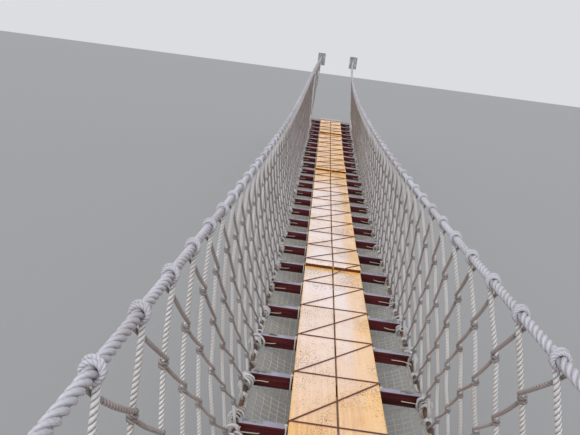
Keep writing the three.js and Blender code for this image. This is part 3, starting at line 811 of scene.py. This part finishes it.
def diagonal_path(span, random, passed, tail, core=None, core_drop=None):
    """Way along, drop and inward offset of slanting cords that pass the same number of strands, and the
    cord's width by step. A cord runs down behind its own strand, then straight to the next; there it makes
    two full turns, in on the deck side above and out on the deck side below. With a core radius given, it
    ends in a turn and a third round the net's lower edge, whose middle is at the core drop."""
    count = len(tail)
    half_bay = span.sizes.bay / 2
    reach = span.sizes.strand / 2 + 0.14 * span.sizes.diagonal
    start = np.array([[-0.030, 0.006, 0.0], [-0.016, 0.020, -0.5], [0.0, 0.034, -1.0], [0.011, 0.047, -0.2],
                      [0.022, 0.059, 0.7]]) * [1.0, 1.0, reach]
    straight, to_edge = np.array([0.12, 0.35, 0.65, 0.88]), np.array([0.2, 0.5, 0.8, 1.0])
    start_width, hitch_width = 0.85, 0.84
    uneven, slack = 0.008, 0.006
    turn = np.linspace(0.0, 2.0, 17)
    parts = [np.repeat(start[None], count, axis=0)]
    widths = [np.full(len(start), start_width)]

    def run_to(target, shares):
        """Goes straight from the last point to the target."""
        begun = parts[-1][:, -1:]
        parts.append(begun + (target - begun) * shares[:, None])
        widths.append(np.ones(len(shares)))

    for number in range(1, passed + 1):
        crossing = number * span.crossing_drop + span.first_drop + random.normal(0.0, uneven, (count, 1))
        run_to(stacked(number * half_bay, crossing - span.hitch_half, reach), straight)
        parts[-1][..., 1] += random.uniform(0.0, slack, (count, 1)) * np.sin(np.pi * straight)
        parts.append(stacked(number * half_bay + reach * np.sin(TURN * turn),
                             crossing + span.hitch_half * (turn - 1.0), reach * np.cos(TURN * turn)))
        widths.append(np.full(len(turn), hitch_width))
    ends = (passed + tail)[:, None]
    run_to(stacked(ends * half_bay, ends * span.crossing_drop + span.first_drop, 0.0), to_edge)
    if core is not None:
        steps, first_angle, last_angle, begin, advance = 12, -0.38, 2.3, 0.004, 0.011
        angle = np.pi * np.linspace(first_angle, last_angle, steps)
        radius = (core + 0.43 * span.sizes.diagonal)[:, None]
        turns = np.linspace(0.0, (last_angle - first_angle) / 2, steps)
        along = parts[-1][:, -1:, 0] + begin + advance * turns
        parts.append(stacked(along, core_drop[:, None] + radius * np.sin(angle), radius * np.cos(angle)))
        widths.append(np.full(steps, hitch_width))
    return np.concatenate(parts, axis=1), np.concatenate(widths)


def net_diagonals(span, side):
    """Slanting net cords, from a hand rope down and away from strand to strand, marked with painted shade in
    the hitches.
    """
    sizes = span.sizes
    hitch_shade, narrowing = 0.72, 0.16
    random = seeded("diagonals", side)
    distance = span.stations(side)
    passed, tail, tied = passed_strands(span, side, distance)
    ends = distance + (passed + tail) * sizes.bay / 2
    on_cable = span.is_over_deck(ends)
    core = np.where(on_cable, sizes.foot_cable, sizes.diagonal) / 2
    core_drop = span.net_height(side, np.minimum(ends, ANCHOR_HALF - span.anchor_room)) + core * on_cable
    shell = Shell()
    for number, reaches in sorted(set(zip(passed[passed > 0], tied[passed > 0]))):
        chosen = (passed == number) & (tied == reaches)
        edge = (core[chosen], core_drop[chosen]) if reaches else ()
        path, width = diagonal_path(span, random, number, tail[chosen], *edge)
        along, drop, inward = np.moveaxis(path, -1, 0)
        paths = span.net(side, distance[chosen, None] + along, drop, inward)
        # Painted shade in the hitches, where the cord is drawn thinner.
        mark = hitch_shade * np.clip((1.0 - width) / narrowing, 0.0, 1.0)
        shell.add_tubes(paths, sizes.diagonal / 2 * width[:, None], 6, (0.6, 0.0, 1.0), mark[:, None])
    return shell


def net_selvedges(span, side):
    """Edge cords of a net past the footway, from the last strand over the footway up to the anchor."""
    steps, sides, short_of_anchor = 44, 8, 0.004
    stations = span.stations(side)
    last = stations[span.is_over_deck(stations)][[0, -1]]
    distance = np.linspace(last, np.sign(last) * (ANCHOR_HALF - short_of_anchor), steps, axis=-1)
    return Shell().add_tubes(span.edge(side, distance), span.sizes.diagonal / 2, sides, Z_AXIS)


def foot_cable(span, side):
    """Wire rope on the parabola of the bearers' middles."""
    path = span.cable(side, np.linspace(-CABLE_HALF, CABLE_HALF, 420))
    return Shell().add_tubes(path[None], span.sizes.foot_cable / 2, 12, Z_AXIS)


def foot_lashings(span, side):
    """Where the net meets the foot cable: a hitch for every strand, every other one on the left moved clear
    of a bearer, and at every bearer a loose bundle with free ends."""
    cable_room, moved = 0.12, 0.052
    random = seeded("lashings", side)
    stations = span.stations(side)
    stations = stations[np.abs(stations) < CABLE_HALF - cable_room]
    spots = stations + (moved * (np.arange(len(stations)) % 2 == 0) if side < 0 else 0.0)
    phase = random.normal(0.0, 0.3, len(spots))
    shell = Shell().add_tubes(*hitches(span.cable, side, spots, phase, span.sizes.foot_cable / 2,
                                       span.sizes.strand, 22, 5))
    add_bundles(shell, span, side, random)
    add_loose_ends(shell, span, side, random)
    return shell


def add_bundles(shell, span, side, random):
    """Rope and thinner cord wound round the foot cable beside each bearer: a helix of uneven radius."""
    unevenness, least_radius, outward, upward = 0.008, 0.019, 0.003, 0.005
    beside, scatter, end_room = (-0.060, 0.066), 0.016, 0.03
    bearers = span.bearers()
    count = len(bearers)
    windings = (
        (2.4, 32, 0.130, 0.024, 0.0068), (1.7, 24, 0.070, 0.036, 0.0068), (3.3, 38, 0.110, 0.030, 0.0042))
    for turns, steps, length, reach, cord in windings:
        share = np.linspace(0.0, 1.0, steps)
        angle = random.uniform(0.0, TURN, (count, 1)) + TURN * turns * share
        middle = bearers + random.choice(beside, count) + random.normal(0.0, scatter, count)
        spots = middle[:, None] + length * (share - 0.5) + wander(random, count, steps, unevenness)
        paths = span.cable(side, kept(spots, CABLE_HALF - end_room))
        radius = np.maximum(reach + wander(random, count, steps, unevenness), least_radius)
        paths[..., 0] += radius * np.cos(angle) + side * outward
        paths[..., 2] += radius * np.sin(angle) + upward
        shell.add_tubes(paths, cord, 5, Y_AXIS)


def add_loose_ends(shell, span, side, random):
    """Two free ends at each bearer: out from the cable in one direction, curling by the square of the way
    into another."""
    beside, scatter, end_room, start, curl = (-0.085, 0.075), 0.012, 0.06, 0.014, 0.9
    bearers = span.bearers()
    count = 2 * len(bearers)
    spots = np.repeat(bearers, 2) + np.tile(beside, len(bearers)) + random.normal(0.0, scatter, count)
    share = np.linspace(0.0, 1.0, 9)[:, None]
    first = unit(random.normal(0.0, 1.0, (count, 3)) * [0.5, 1.0, 0.4] + [-0.2 * side, 0.0, 0.8])[:, None]
    second = unit(random.normal(0.0, 1.0, (count, 3)) * [0.7, 1.0, 0.5] + [0.0, 0.0, -0.5])[:, None]
    length = random.uniform(0.035, 0.065, (count, 1, 1))
    paths = span.cable(side, kept(spots, CABLE_HALF - end_room))[:, None] + start * first
    paths = paths + length * (share * first + curl * share ** 2 * second)
    shell.add_tubes(paths, random.uniform(0.0045, 0.0068, (count, 1, 1)), 5, (0.3, 0.9, 0.1))


def net_lacing(span, side):
    """Cord that laces the under net's edge to the foot cable: an oval helix, four turns a bay."""
    step, end_room, cord = 0.012, 0.03, 0.0025
    wide, tall, inward, downward = 0.020, 0.027, 0.006, 0.016
    distance = np.arange(-CABLE_HALF + end_room, CABLE_HALF - end_room, step)
    angle = TURN * (distance + span.bearer_half_span) / (span.sizes.bay / 4)
    path = span.cable(side, distance)
    path[:, 0] += side * (wide * np.cos(angle) - inward)
    path[:, 2] += tall * np.sin(angle) - downward
    return Shell().add_tubes(path[None], cord, 5, (1, 0, 0.2))


def white_ties(span, side):
    """Bright thin cord at the bearers' ends: an open loop that stands up beside each bearer, an arc of 260
    degrees that leans, and a short link from the bearer's end down to the cable, a line with a sine on it."""
    cord, arc_start, arc, loop_height, loop_room = 0.0024, -60.0, 260.0, 0.016, 0.05
    beside, link_in, link_drop, link_arch, link_room = 0.034, 0.040, 0.045, 0.008, 0.02
    random = seeded("ties", side)
    bearers = span.bearers()
    count = len(bearers)
    share = np.linspace(0.0, 1.0, 14)
    angle = np.radians(arc_start + arc * share) + random.normal(0.0, 0.25, (count, 1))
    spots = kept(bearers - random.uniform(0.045, 0.120, count), CABLE_HALF - loop_room)
    wide = random.uniform(0.014, 0.024, (count, 1))
    tall = random.uniform(0.020, 0.034, (count, 1))
    lean = random.normal(0.0, 0.4, (count, 1))
    loop = stacked(wide * np.cos(angle), wide * np.cos(angle) * lean + 0.012 * share,
                   tall * np.sin(angle) + loop_height)
    shell = Shell().add_tubes(span.cable(side, spots)[:, None] + loop, cord, 5, (0.1, 1.0, 0.1))
    share = np.linspace(0.0, 1.0, 7)
    spots = kept(bearers + random.choice([-beside, beside], count), CABLE_HALF - link_room)
    away = random.uniform(0.020, 0.040, (count, 1))
    link = stacked(-side * (0.026 - link_in * share), -away * share,
                   0.022 - link_drop * share + link_arch * np.sin(np.pi * share))
    return shell.add_tubes(span.cable(side, spots)[:, None] + link, cord, 5, (0, 1, 0.2))


def under_net(span):
    """Square netting: cords along the bridge and cords across it on the parabola of the slung net, moved
    sideways and down by sums of sines, with a thicker cord round the edge."""
    cord, edge_cord, along_factor = 0.0022, 0.0042, 1.16
    side_inset, end_inset, still_edge = 0.006, 0.004, 0.01
    mesh = span.sizes.mesh_size
    half = span.sizes.bearer_length / 2 - side_inset
    half_along = UNDER_NET_HALF - end_inset
    lines = 2 * int(round(half / mesh))
    knots = 2 * int(round(UNDER_NET_HALF / (along_factor * mesh)))
    x, y = np.meshgrid(np.linspace(-half, half, lines + 1), np.linspace(-half_along, half_along, knots + 1),
                       indexing="ij")
    aside = 0.0022 * np.sin(37.0 * y + 11.0 * x) + 0.0016 * np.sin(91.0 * y - 23.0 * x)
    down = 0.0010 * (np.sin(29.0 * y + 17.0 * x) - 1.0)
    along = stacked(x + aside * (np.abs(x) < half - still_edge), MIDDLE_Y + y, span.sheet_z(x, y) + down)
    across = np.swapaxes(along, 0, 1)
    shell = Shell().add_tubes(along[1:-1, ::2], cord, 4, X_AXIS)
    shell.add_tubes(across[1:-1, ::2], cord, 4, Y_AXIS)
    shell.add_tubes(along[[0, -1], ::2], edge_cord, 6, X_AXIS)
    return shell.add_tubes(across[[0, -1]], edge_cord, 6, Y_AXIS)


# Bearers and what is tied to them


def tilt(shape, distance, span):
    """Turns points about the bearer's own middle line by the slope of the footway, and moves them there."""
    distance = distance.reshape((-1,) + (1,) * (shape.ndim - 2))
    slope = np.arctan(span.deck_slope(distance))
    y = shape[..., 1] * np.cos(slope) - shape[..., 2] * np.sin(slope)
    z = shape[..., 1] * np.sin(slope) + shape[..., 2] * np.cos(slope)
    return stacked(shape[..., 0], MIDDLE_Y + distance + y, span.deck_z(distance) - span.bearer_below_deck + z)


def bearer_set(span, distance):
    """Cross timbers: a rounded rectangle carried across the bridge, its ends drawn in by the bevel. Marked
    on top, where the finish paints a pale sky reflection."""
    sizes = span.sizes
    corner, bevel, drawn_in, top_band = 0.004, 0.003, 0.9, 0.002
    half = sizes.bearer_length / 2
    section = rounded_outline(sizes.bearer_width, sizes.bearer_height, corner)
    across = np.array([-half, bevel - half, -0.30, -0.10, 0.10, 0.30, half - bevel, half])[:, None]
    inset = np.where(np.abs(across) < half, 1.0, drawn_in)
    rings = tilt(stacked(across, section[:, 0] * inset, section[:, 1] * inset)[None], distance, span)
    return Shell().add_rings(rings, (section[:, 1] > sizes.bearer_height / 2 - top_band).astype(float))


def bearer_irons(span, distance):
    """A small washer plate and a domed bolt on each end of each bearer: flat rings and a dome's outline
    turned about its axis."""
    bolt_x, plate_x, plate_top, plate_length, plate_width, corner = 0.392, 0.398, 0.0012, 0.096, 0.034, 0.008
    top = span.sizes.bearer_height / 2
    turn = np.linspace(0.0, TURN, 12, endpoint=False)
    radius, height = np.array([[0.0145, 0.0], [0.0145, 0.0022], [0.0090, 0.0024], [0.0086, 0.0060],
                               [0.0050, 0.0082], [0.0008, 0.0088]]).T[..., None]
    drawn_in = np.array([[1.0, 1.0], [1.0, 1.0], [0.985, 0.96]])[:, None]
    plate = rounded_outline(plate_length, plate_width, corner) * drawn_in
    plate_height = np.array([-0.001, plate_top, 0.0018])[:, None]
    shell = Shell()
    for side in SIDES.values():
        bolt = stacked(side * bolt_x + radius * np.cos(turn), radius * np.sin(turn), top + plate_top + height)
        slab = stacked(side * plate_x + plate[..., 0], plate[..., 1], top + plate_height)
        shell.add_rings(tilt(bolt[None], distance, span)).add_rings(tilt(slab[None], distance, span))
    return shell


def bearer_cords(span, distance):
    """Tan cords, each from a hole in a bearer's near face out to its end, sagging by a sine."""
    start_x, reach, proud, in_hole = 0.355, 0.108, 0.003, 0.05
    cord, uneven, droop, below_middle = 0.0027, 0.006, 0.004, 0.006
    random = seeded("cords")
    share = np.linspace(0.0, 1.0, 8)
    shell = Shell()
    for side in SIDES.values():
        sag = random.uniform(-uneven, uneven, (len(distance), 1)) * np.sin(np.pi * share) - droop * share
        path = stacked(side * (start_x + reach * share),
                       np.where(share < in_hole, proud, -proud) - span.sizes.bearer_width / 2,
                       sag - below_middle)
        shell.add_tubes(tilt(path, distance, span), cord, 5, Z_AXIS)
    return shell


def bearer_loops(span, distance):
    """White cord at the boards' outer edges: a rounded oval round each bearer, the signed root of cos and
    sin, and a small knot on its top, one and a half turns of the same cord drawn up tight."""
    sizes = span.sizes
    proud, past_board, aside, turns, loop_cord, knot_cord = 0.004, 0.006, 0.012, 1.04, 0.0040, 0.0038
    knot_past_loop, knot_y, knot_wide, knot_long, pitch = 0.004, -0.015, 0.0055, 0.0065, 0.0011
    random = seeded("loops")
    count = len(distance)
    share = np.linspace(0.0, 1.0, 17)
    turn = TURN * turns * share + np.pi / 2
    across, over = (np.sign(wave) * np.abs(wave) ** 0.5 for wave in (np.cos(turn), np.sin(turn)))
    top = sizes.bearer_height / 2 + proud
    shell = Shell()
    for side in SIDES.values():
        edge = side * (sizes.plank_width + sizes.plank_seam / 2 + past_board)
        shift = random.normal(0.0, 0.001, (count, 1))
        loop = stacked(edge + aside * (share - 0.5) + shift, (sizes.bearer_width / 2 + proud) * across,
                       top * over)
        shell.add_tubes(tilt(loop, distance, span), loop_cord, 5, X_AXIS)
        angle = np.linspace(0.0, 3.0 * np.pi, 13) + random.uniform(0.0, TURN, (count, 1))
        knot = stacked(edge + side * knot_past_loop + knot_wide * np.cos(angle),
                       knot_y + knot_long * np.sin(angle), top + pitch * np.arange(13))
        shell.add_tubes(tilt(knot, distance, span), knot_cord, 5, Z_AXIS)
    return shell


# Footway


def plank(span, side, number):
    """One board: a rounded rectangle carried along the footway's curve, the near end of a lapped board lying
    on the board before it, its top hollowed by a parabola. Marks: about a half along the outer edge and a
    quarter along the seam, where the finish paints a highlight, 1 on a strip just before the next board's
    end, 2 on the sawn ends."""
    width, thickness = span.sizes.plank_width, span.sizes.plank_thickness
    corner, from_corner, bevel, ring_step, least_rings = 0.004, 0.022, 0.0025, 0.09, 8
    outer_highlight, seam_highlight, strip_ramp, edge_band = 0.55, 0.25, 0.018, 0.005
    least_hollow, most_hollow, strip_rings = 0.0004, 0.0012, np.array([-0.066, -0.048, 0.004, 0.010])
    starts = span.plank_starts()
    lapped = number > 0
    near = starts[number] - (span.lap if lapped else 0.0)
    far = np.append(starts[1:], DECK_HALF)[number]
    next_end = starts[number + 1] - span.lap if number + 1 < len(starts) else -np.inf
    strip = next_end + strip_rings
    steps = np.linspace(near + bevel, far - bevel, max(int((far - near) / ring_step), least_rings))
    distance = np.sort(np.concatenate([[near], steps, strip[strip > near], [far]]))
    share = from_corner / (width - 2 * corner)
    section = rounded_outline(width, thickness, corner, between=((), (share, 0.5, 1.0 - share), (), ()))
    top = span.deck_z(distance) + (span.lift_from(starts[number], distance) if lapped else 0.0)
    drawn_in = np.zeros(len(distance))
    drawn_in[[0, -1]] = 2.0 * bevel
    x = side * (width + span.sizes.plank_seam) / 2 + section[:, 0] * (1.0 - drawn_in / width)[:, None]
    z = top[:, None] - thickness / 2 + section[:, 1] * (1.0 - drawn_in / thickness)[:, None]
    hollow = seeded("boards", 2 * number + (side > 0)).uniform(least_hollow, most_hollow)
    z = z - np.where(section[:, 1] > 0, hollow * (1.0 - (section[:, 0] / (width / 2)) ** 2), 0.0)
    on_edge = np.abs(section[:, 0]) > width / 2 - edge_band
    # Painted highlight along the edges, stronger on the outer edge than on the seam.
    mark = np.where(on_edge, np.where(side * section[:, 0] > 0, outer_highlight, seam_highlight), 0.0)
    # A yellow strip just before the next board's end: the mark eases up to 1 over it.
    stain = ease((distance - strip[0]) / strip_ramp) * (distance < strip[-1])
    mark = np.maximum(mark, stain[:, None])
    mark[[0, -1]] = 2.0
    rings = stacked(x, MIDDLE_Y + distance[:, None], z)[None, :, ::-1]
    return Shell().add_rings(rings, mark[:, ::-1])


def plank_lashing(span):
    """Brown cord over the boards: straight across at each bearer, then slanting from its right edge to the
    left edge at the bearer before it, and turned down at the edges."""
    sizes = span.sizes
    cord, beside, end_room = 0.004, 0.004, 0.01
    edge = sizes.plank_width + sizes.plank_seam / 2
    half_across = np.array([0.01, 0.5 * edge, edge + 0.001, edge + cord, edge + cord])
    half_drop = np.array([-0.0030, -0.0036, -0.0032, 0.003, sizes.plank_thickness])
    across = np.concatenate([-half_across[::-1], half_across])
    drop = np.concatenate([half_drop[::-1], half_drop])
    bearers = span.bearers()
    straight = np.repeat(bearers[:, None], len(across), axis=1)
    slanted = bearers[1:, None] - sizes.bay * (1.0 - (across + edge) / (2 * edge))
    shell = Shell()
    for spots, offset in ((straight, 0.0), (slanted, beside)):
        spots = kept(spots + offset * np.sign(spots), DECK_HALF - end_room)
        shell.add_tubes(stacked(across, MIDDLE_Y + spots, span.walked_z(spots) - drop), cord, 6, Y_AXIS)
    return shell


# Sills and anchors


def sill(name, end):
    """Concrete block: a rounded rectangle carried across, with hollows cut into all its faces but the lowest
    by a sum of five sines of x, y and z. Marked on top past the ends of the planks."""
    low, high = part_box(name)
    width, depth, height = (high[axis] - low[axis] for axis in range(3))
    middle_y, middle_z = (low.y + high.y) / 2, (low.z + high.z) / 2
    corner, pit_depth, drawn_in, worn_half, worn_band = 0.018, 0.0011, 0.975, 0.27, 0.08
    bottom_band, top_band = 0.01, 0.03
    steps = np.linspace(0.0, 1.0, 17)[1:-1]
    outline = rounded_outline(depth, height, corner, (0.0, 30.0, 60.0, 90.0), (steps,) * 4)
    across = np.concatenate([[-1.0], np.linspace(-0.994, 0.994, 90), [1.0]])[:, None]
    inset = np.where(np.abs(across) < 1.0, 1.0, drawn_in)
    x = across * width / 2
    y, z = outline[:, 0] * inset, outline[:, 1] * inset
    sines = ((1.0, 17.0, 9.0, 0.0, 3.0 * end), (1.0, 41.0, -23.0, 31.0, 0.0), (1.0, 19.0, 73.0, 0.0, 0.0),
             (0.7, 131.0, 0.0, 47.0, 0.0), (0.6, -61.0, 157.0, 0.0, 0.0))
    lumps = sum(size * np.sin(kx * x + ky * y + kz * z + phase) for size, kx, ky, kz, phase in sines)
    pit = pit_depth * (sum(wave[0] for wave in sines) - lumps) / 2.0
    shrunk = 1.0 - np.where(z > bottom_band - height / 2, pit / np.hypot(y, z), 0.0)
    worn = ease((worn_half - np.abs(x)) / worn_band) * (z * shrunk > height / 2 - top_band)
    return Shell().add_rings(stacked(x, middle_y + y * shrunk, middle_z + z * shrunk)[None], worn)


def anchor_bolts():
    """Hexagon nuts on round washers, four on each anchor plate and four on each cable beam. A hexagon's
    radius is 1 over the largest of the cosines measured from its sides."""
    plate, bolt_aside, bolt_inset, beam_bolts = 0.015, 0.072, 0.032, (-0.36, -0.12, 0.12, 0.36)
    washer_radius, nut_radius, nut_top = 0.018, 0.0115, 0.0095
    spots = []
    for end_name, end in ENDS.items():
        for side_name in SIDES:
            low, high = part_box(f"{end_name}_anchor_{side_name}")
            face = (low, high)[end > 0].y - end * plate
            spots += [((low.x + high.x) / 2 + x, face, z, -end)
                      for x in (-bolt_aside, bolt_aside) for z in (low.z + bolt_inset, high.z - bolt_inset)]
        low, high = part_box(f"{end_name}_cable_beam")
        face = (low, high)[end > 0].y - end * plate
        spots += [(x, face, (low.z + high.z) / 2, -end) for x in beam_bolts]
    turn = np.linspace(0.0, TURN, 12, endpoint=False)
    hexagon = 1.0 / np.maximum.reduce([np.abs(np.cos(turn - number * np.pi / 3)) for number in range(3)])
    washer = washer_radius * np.ones_like(turn)
    depth = np.array([-0.001, 0.003, 0.003, 0.012, 0.014])[:, None]
    radius = np.stack([washer, washer, nut_radius * hexagon, nut_radius * hexagon, nut_top * hexagon])
    x, y, z, outward = np.array(spots).T[..., None, None]
    return Shell().add_rings(stacked(x - outward * radius * np.cos(turn), y + outward * depth,
                                     z + radius * np.sin(turn)))


# Stage


def add_floor(height):
    """A wide square floor."""
    reach = 150.0
    mesh = bpy.data.meshes.new("studio_floor")
    corners = [(x * reach, y * reach, height) for x, y in ((-1, -1), (1, -1), (1, 1), (-1, 1))]
    mesh.from_pydata(corners, [], [(0, 1, 2, 3)])
    mesh.materials.append(material("Studio floor"))
    floor = bpy.data.objects.new("studio_floor", mesh)
    bpy.context.scene.collection.objects.link(floor)


def add_lights():
    """An overcast sky: an even pale world, and very soft light from above the near end, a little from the
    left."""
    world = bpy.data.worlds.new("Studio")
    world.use_nodes = True
    background = world.node_tree.nodes["Background"]
    background.inputs["Color"].default_value = (0.95, 0.965, 1.0, 1.0)
    background.inputs["Strength"].default_value = 0.75
    bpy.context.scene.world = world
    data = bpy.data.lights.new("overcast_light", "SUN")
    data.energy = 1.78
    data.angle = math.radians(75.0)
    light = bpy.data.objects.new("overcast_light", data)
    light.rotation_euler = (math.radians(42.0), math.radians(-14.0), 0.0)
    bpy.context.scene.collection.objects.link(light)


def add_camera():
    """The photograph's view: place, yaw, pitch and roll found from the bearers, boards and hand ropes."""
    eye = (-0.285, 5.764, 1.574)
    yaw, pitch, roll = np.radians([1.368, 13.660, 7.548])
    sensor, focal_pixels, picture_pixels = 36.0, 645.27, 580.0
    forward = np.array([-np.sin(yaw) * np.cos(pitch), np.cos(yaw) * np.cos(pitch), -np.sin(pitch)])
    level = np.array([np.cos(yaw), np.sin(yaw), 0.0])
    upright = np.cross(level, forward)
    right = level * np.cos(roll) + upright * np.sin(roll)
    up = upright * np.cos(roll) - level * np.sin(roll)
    data = bpy.data.cameras.new("camera")
    data.sensor_fit = "HORIZONTAL"
    data.sensor_width = sensor
    data.lens = sensor * focal_pixels / picture_pixels
    data.clip_end = 400.0
    camera = bpy.data.objects.new("camera", data)
    columns = np.stack([right, up, -forward], axis=1)
    camera.matrix_world = Matrix([[*row, spot] for row, spot in zip(columns, eye)] + [[0, 0, 0, 1]])
    bpy.context.scene.collection.objects.link(camera)
    bpy.context.scene.camera = camera
    bpy.context.scene.view_settings.view_transform = "Standard"


# Operators


class FootbridgeStep:
    """What the operators share: they can be undone, and each works on the span of the scene's sizes."""

    bl_options = {"REGISTER", "UNDO"}

    @staticmethod
    def span(context):
        return Span(context.scene.footbridge_sizes)


class FOOTBRIDGE_OT_stage(FootbridgeStep, bpy.types.Operator):
    """Makes the studio floor, the lights and the camera"""

    bl_idname = "footbridge.stage"
    bl_label = "Stage"

    def execute(self, context):
        add_floor(self.span(context).sizes.floor_z)
        add_lights()
        add_camera()
        return {"FINISHED"}


class FOOTBRIDGE_OT_hand_ropes(FootbridgeStep, bpy.types.Operator):
    """Makes the two laid hand ropes and the hitches along them"""

    bl_idname = "footbridge.hand_ropes"
    bl_label = "Hand Ropes"

    def execute(self, context):
        span = self.span(context)
        for name, side in SIDES.items():
            place(hand_rope(span, side), f"laid_hand_rope_{name}", f"{name.title()} hand rope", "hand_rope",
                  f"hand_rope_{name}")
            place(hand_rope_knots(span, side), f"hand_rope_knots_{name}", "Hand rope knot", "net_rope")
        return {"FINISHED"}


class FOOTBRIDGE_OT_side_nets(FootbridgeStep, bpy.types.Operator):
    """Makes the knotted side nets"""

    bl_idname = "footbridge.side_nets"
    bl_label = "Side Nets"

    def execute(self, context):
        span = self.span(context)
        for name, side in SIDES.items():
            place(net_strands(span, side), f"net_strands_{name}", "Net strand", "net_rope",
                  f"side_net_{name}")
            place(net_diagonals(span, side), f"net_diagonals_{name}", "Net diagonal", "net_rope")
            place(net_selvedges(span, side), f"net_selvedge_{name}", "Net diagonal", "net_rope")
        return {"FINISHED"}


class FOOTBRIDGE_OT_foot_cables(FootbridgeStep, bpy.types.Operator):
    """Makes the foot cables with their lashings and white lacing"""

    bl_idname = "footbridge.foot_cables"
    bl_label = "Foot Cables"

    def execute(self, context):
        span = self.span(context)
        for name, side in SIDES.items():
            place(foot_cable(span, side), f"wire_foot_cable_{name}", "Rusted cable", "rusty_cable",
                  f"foot_cable_{name}")
            place(foot_lashings(span, side), f"foot_lashings_{name}", "Foot rope", "net_rope")
            place(net_lacing(span, side), f"net_lacing_{name}", "Netting cord", "under_net_cord")
            place(white_ties(span, side), f"white_ties_{name}", "White lacing", "net_rope")
        return {"FINISHED"}


class FOOTBRIDGE_OT_under_net(FootbridgeStep, bpy.types.Operator):
    """Makes the square netting slung under the footway"""

    bl_idname = "footbridge.under_net"
    bl_label = "Under Net"

    def execute(self, context):
        place(under_net(self.span(context)), "slung_netting", "Netting cord", "under_net_cord", "under_net")
        return {"FINISHED"}


class FOOTBRIDGE_OT_bearers(FootbridgeStep, bpy.types.Operator):
    """Makes the cross timbers with their irons and ties"""

    bl_idname = "footbridge.bearers"
    bl_label = "Bearers"

    def execute(self, context):
        span = self.span(context)
        distance = span.bearers()
        for number, part in enumerate(distance.reshape(7, -1), start=1):
            place(bearer_set(span, part), f"timber_bearers_{number}", "Wet red hardwood", "bearer_wood",
                  f"bearers_{number}", crisp=True)
        place(bearer_irons(span, distance), "bearer_irons", "Galvanised steel", "steel", crisp=True)
        place(bearer_cords(span, distance), "bearer_cords", "Netting cord", "net_rope")
        place(bearer_loops(span, distance), "bearer_loops", "White lacing", "net_rope")
        return {"FINISHED"}


class FOOTBRIDGE_OT_planks(FootbridgeStep, bpy.types.Operator):
    """Makes the boards of the footway and the cord lashed over them"""

    bl_idname = "footbridge.planks"
    bl_label = "Planks"

    def execute(self, context):
        span = self.span(context)
        for name, side in SIDES.items():
            for number in range(1, len(span.plank_bays) + 1):
                place(plank(span, side, number - 1), f"board_{name}_{number}", "Wet orange softwood",
                      "plank_wood", f"plank_{name}_{number}", crisp=True)
        place(plank_lashing(span), "plank_lashing", "Plank lashing", "net_rope")
        return {"FINISHED"}


class FOOTBRIDGE_OT_sills(FootbridgeStep, bpy.types.Operator):
    """Makes the rough concrete sills"""

    bl_idname = "footbridge.sills"
    bl_label = "Sills"

    def execute(self, context):
        for name, end in ENDS.items():
            place(sill(f"{name}_sill", end), f"rough_sill_{name}", "Wet concrete", "concrete", f"{name}_sill")
        return {"FINISHED"}


class FOOTBRIDGE_OT_anchors(FootbridgeStep, bpy.types.Operator):
    """Gives the steel anchors and cable beams their finish and their bolts"""

    bl_idname = "footbridge.anchors"
    bl_label = "Anchors"

    def execute(self, context):
        for name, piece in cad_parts.items():
            if "anchor" in name or "cable_beam" in name:
                for material_slot in piece.material_slots:
                    material_slot.material = material("Galvanised steel")
        place(anchor_bolts(), "anchor_bolts", "Galvanised steel", "steel", crisp=True)
        return {"FINISHED"}


class FOOTBRIDGE_PT_panel(bpy.types.Panel):
    """Lists the sizes, the finishes and the steps"""

    bl_idname = "FOOTBRIDGE_PT_panel"
    bl_label = "Footbridge"
    bl_space_type = "VIEW_3D"
    bl_region_type = "UI"
    bl_category = "Footbridge"

    def draw(self, context):
        for group in (context.scene.footbridge_sizes, context.scene.footbridge_finishes):
            box = self.layout.box()
            for name in group.__annotations__:
                box.prop(group, name)
        for step in STEPS:
            self.layout.operator(step.bl_idname)


STEPS = (
    FOOTBRIDGE_OT_stage,
    FOOTBRIDGE_OT_hand_ropes,
    FOOTBRIDGE_OT_side_nets,
    FOOTBRIDGE_OT_foot_cables,
    FOOTBRIDGE_OT_under_net,
    FOOTBRIDGE_OT_bearers,
    FOOTBRIDGE_OT_planks,
    FOOTBRIDGE_OT_sills,
    FOOTBRIDGE_OT_anchors,
)
CLASSES = (FOOTBRIDGE_PG_sizes, FOOTBRIDGE_PG_finishes) + STEPS + (FOOTBRIDGE_PT_panel,)


def register():
    for cls in CLASSES:
        bpy.utils.register_class(cls)
    bpy.types.Scene.footbridge_sizes = bpy.props.PointerProperty(type=FOOTBRIDGE_PG_sizes)
    bpy.types.Scene.footbridge_finishes = bpy.props.PointerProperty(type=FOOTBRIDGE_PG_finishes)


def unregister():
    del bpy.types.Scene.footbridge_finishes
    del bpy.types.Scene.footbridge_sizes
    for cls in reversed(CLASSES):
        bpy.utils.unregister_class(cls)


def main():
    """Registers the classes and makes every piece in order."""
    register()
    bpy.ops.footbridge.stage()
    bpy.ops.footbridge.hand_ropes()
    bpy.ops.footbridge.side_nets()
    bpy.ops.footbridge.foot_cables()
    bpy.ops.footbridge.under_net()
    bpy.ops.footbridge.bearers()
    bpy.ops.footbridge.planks()
    bpy.ops.footbridge.sills()
    bpy.ops.footbridge.anchors()


if __name__ == "__main__":
    main()
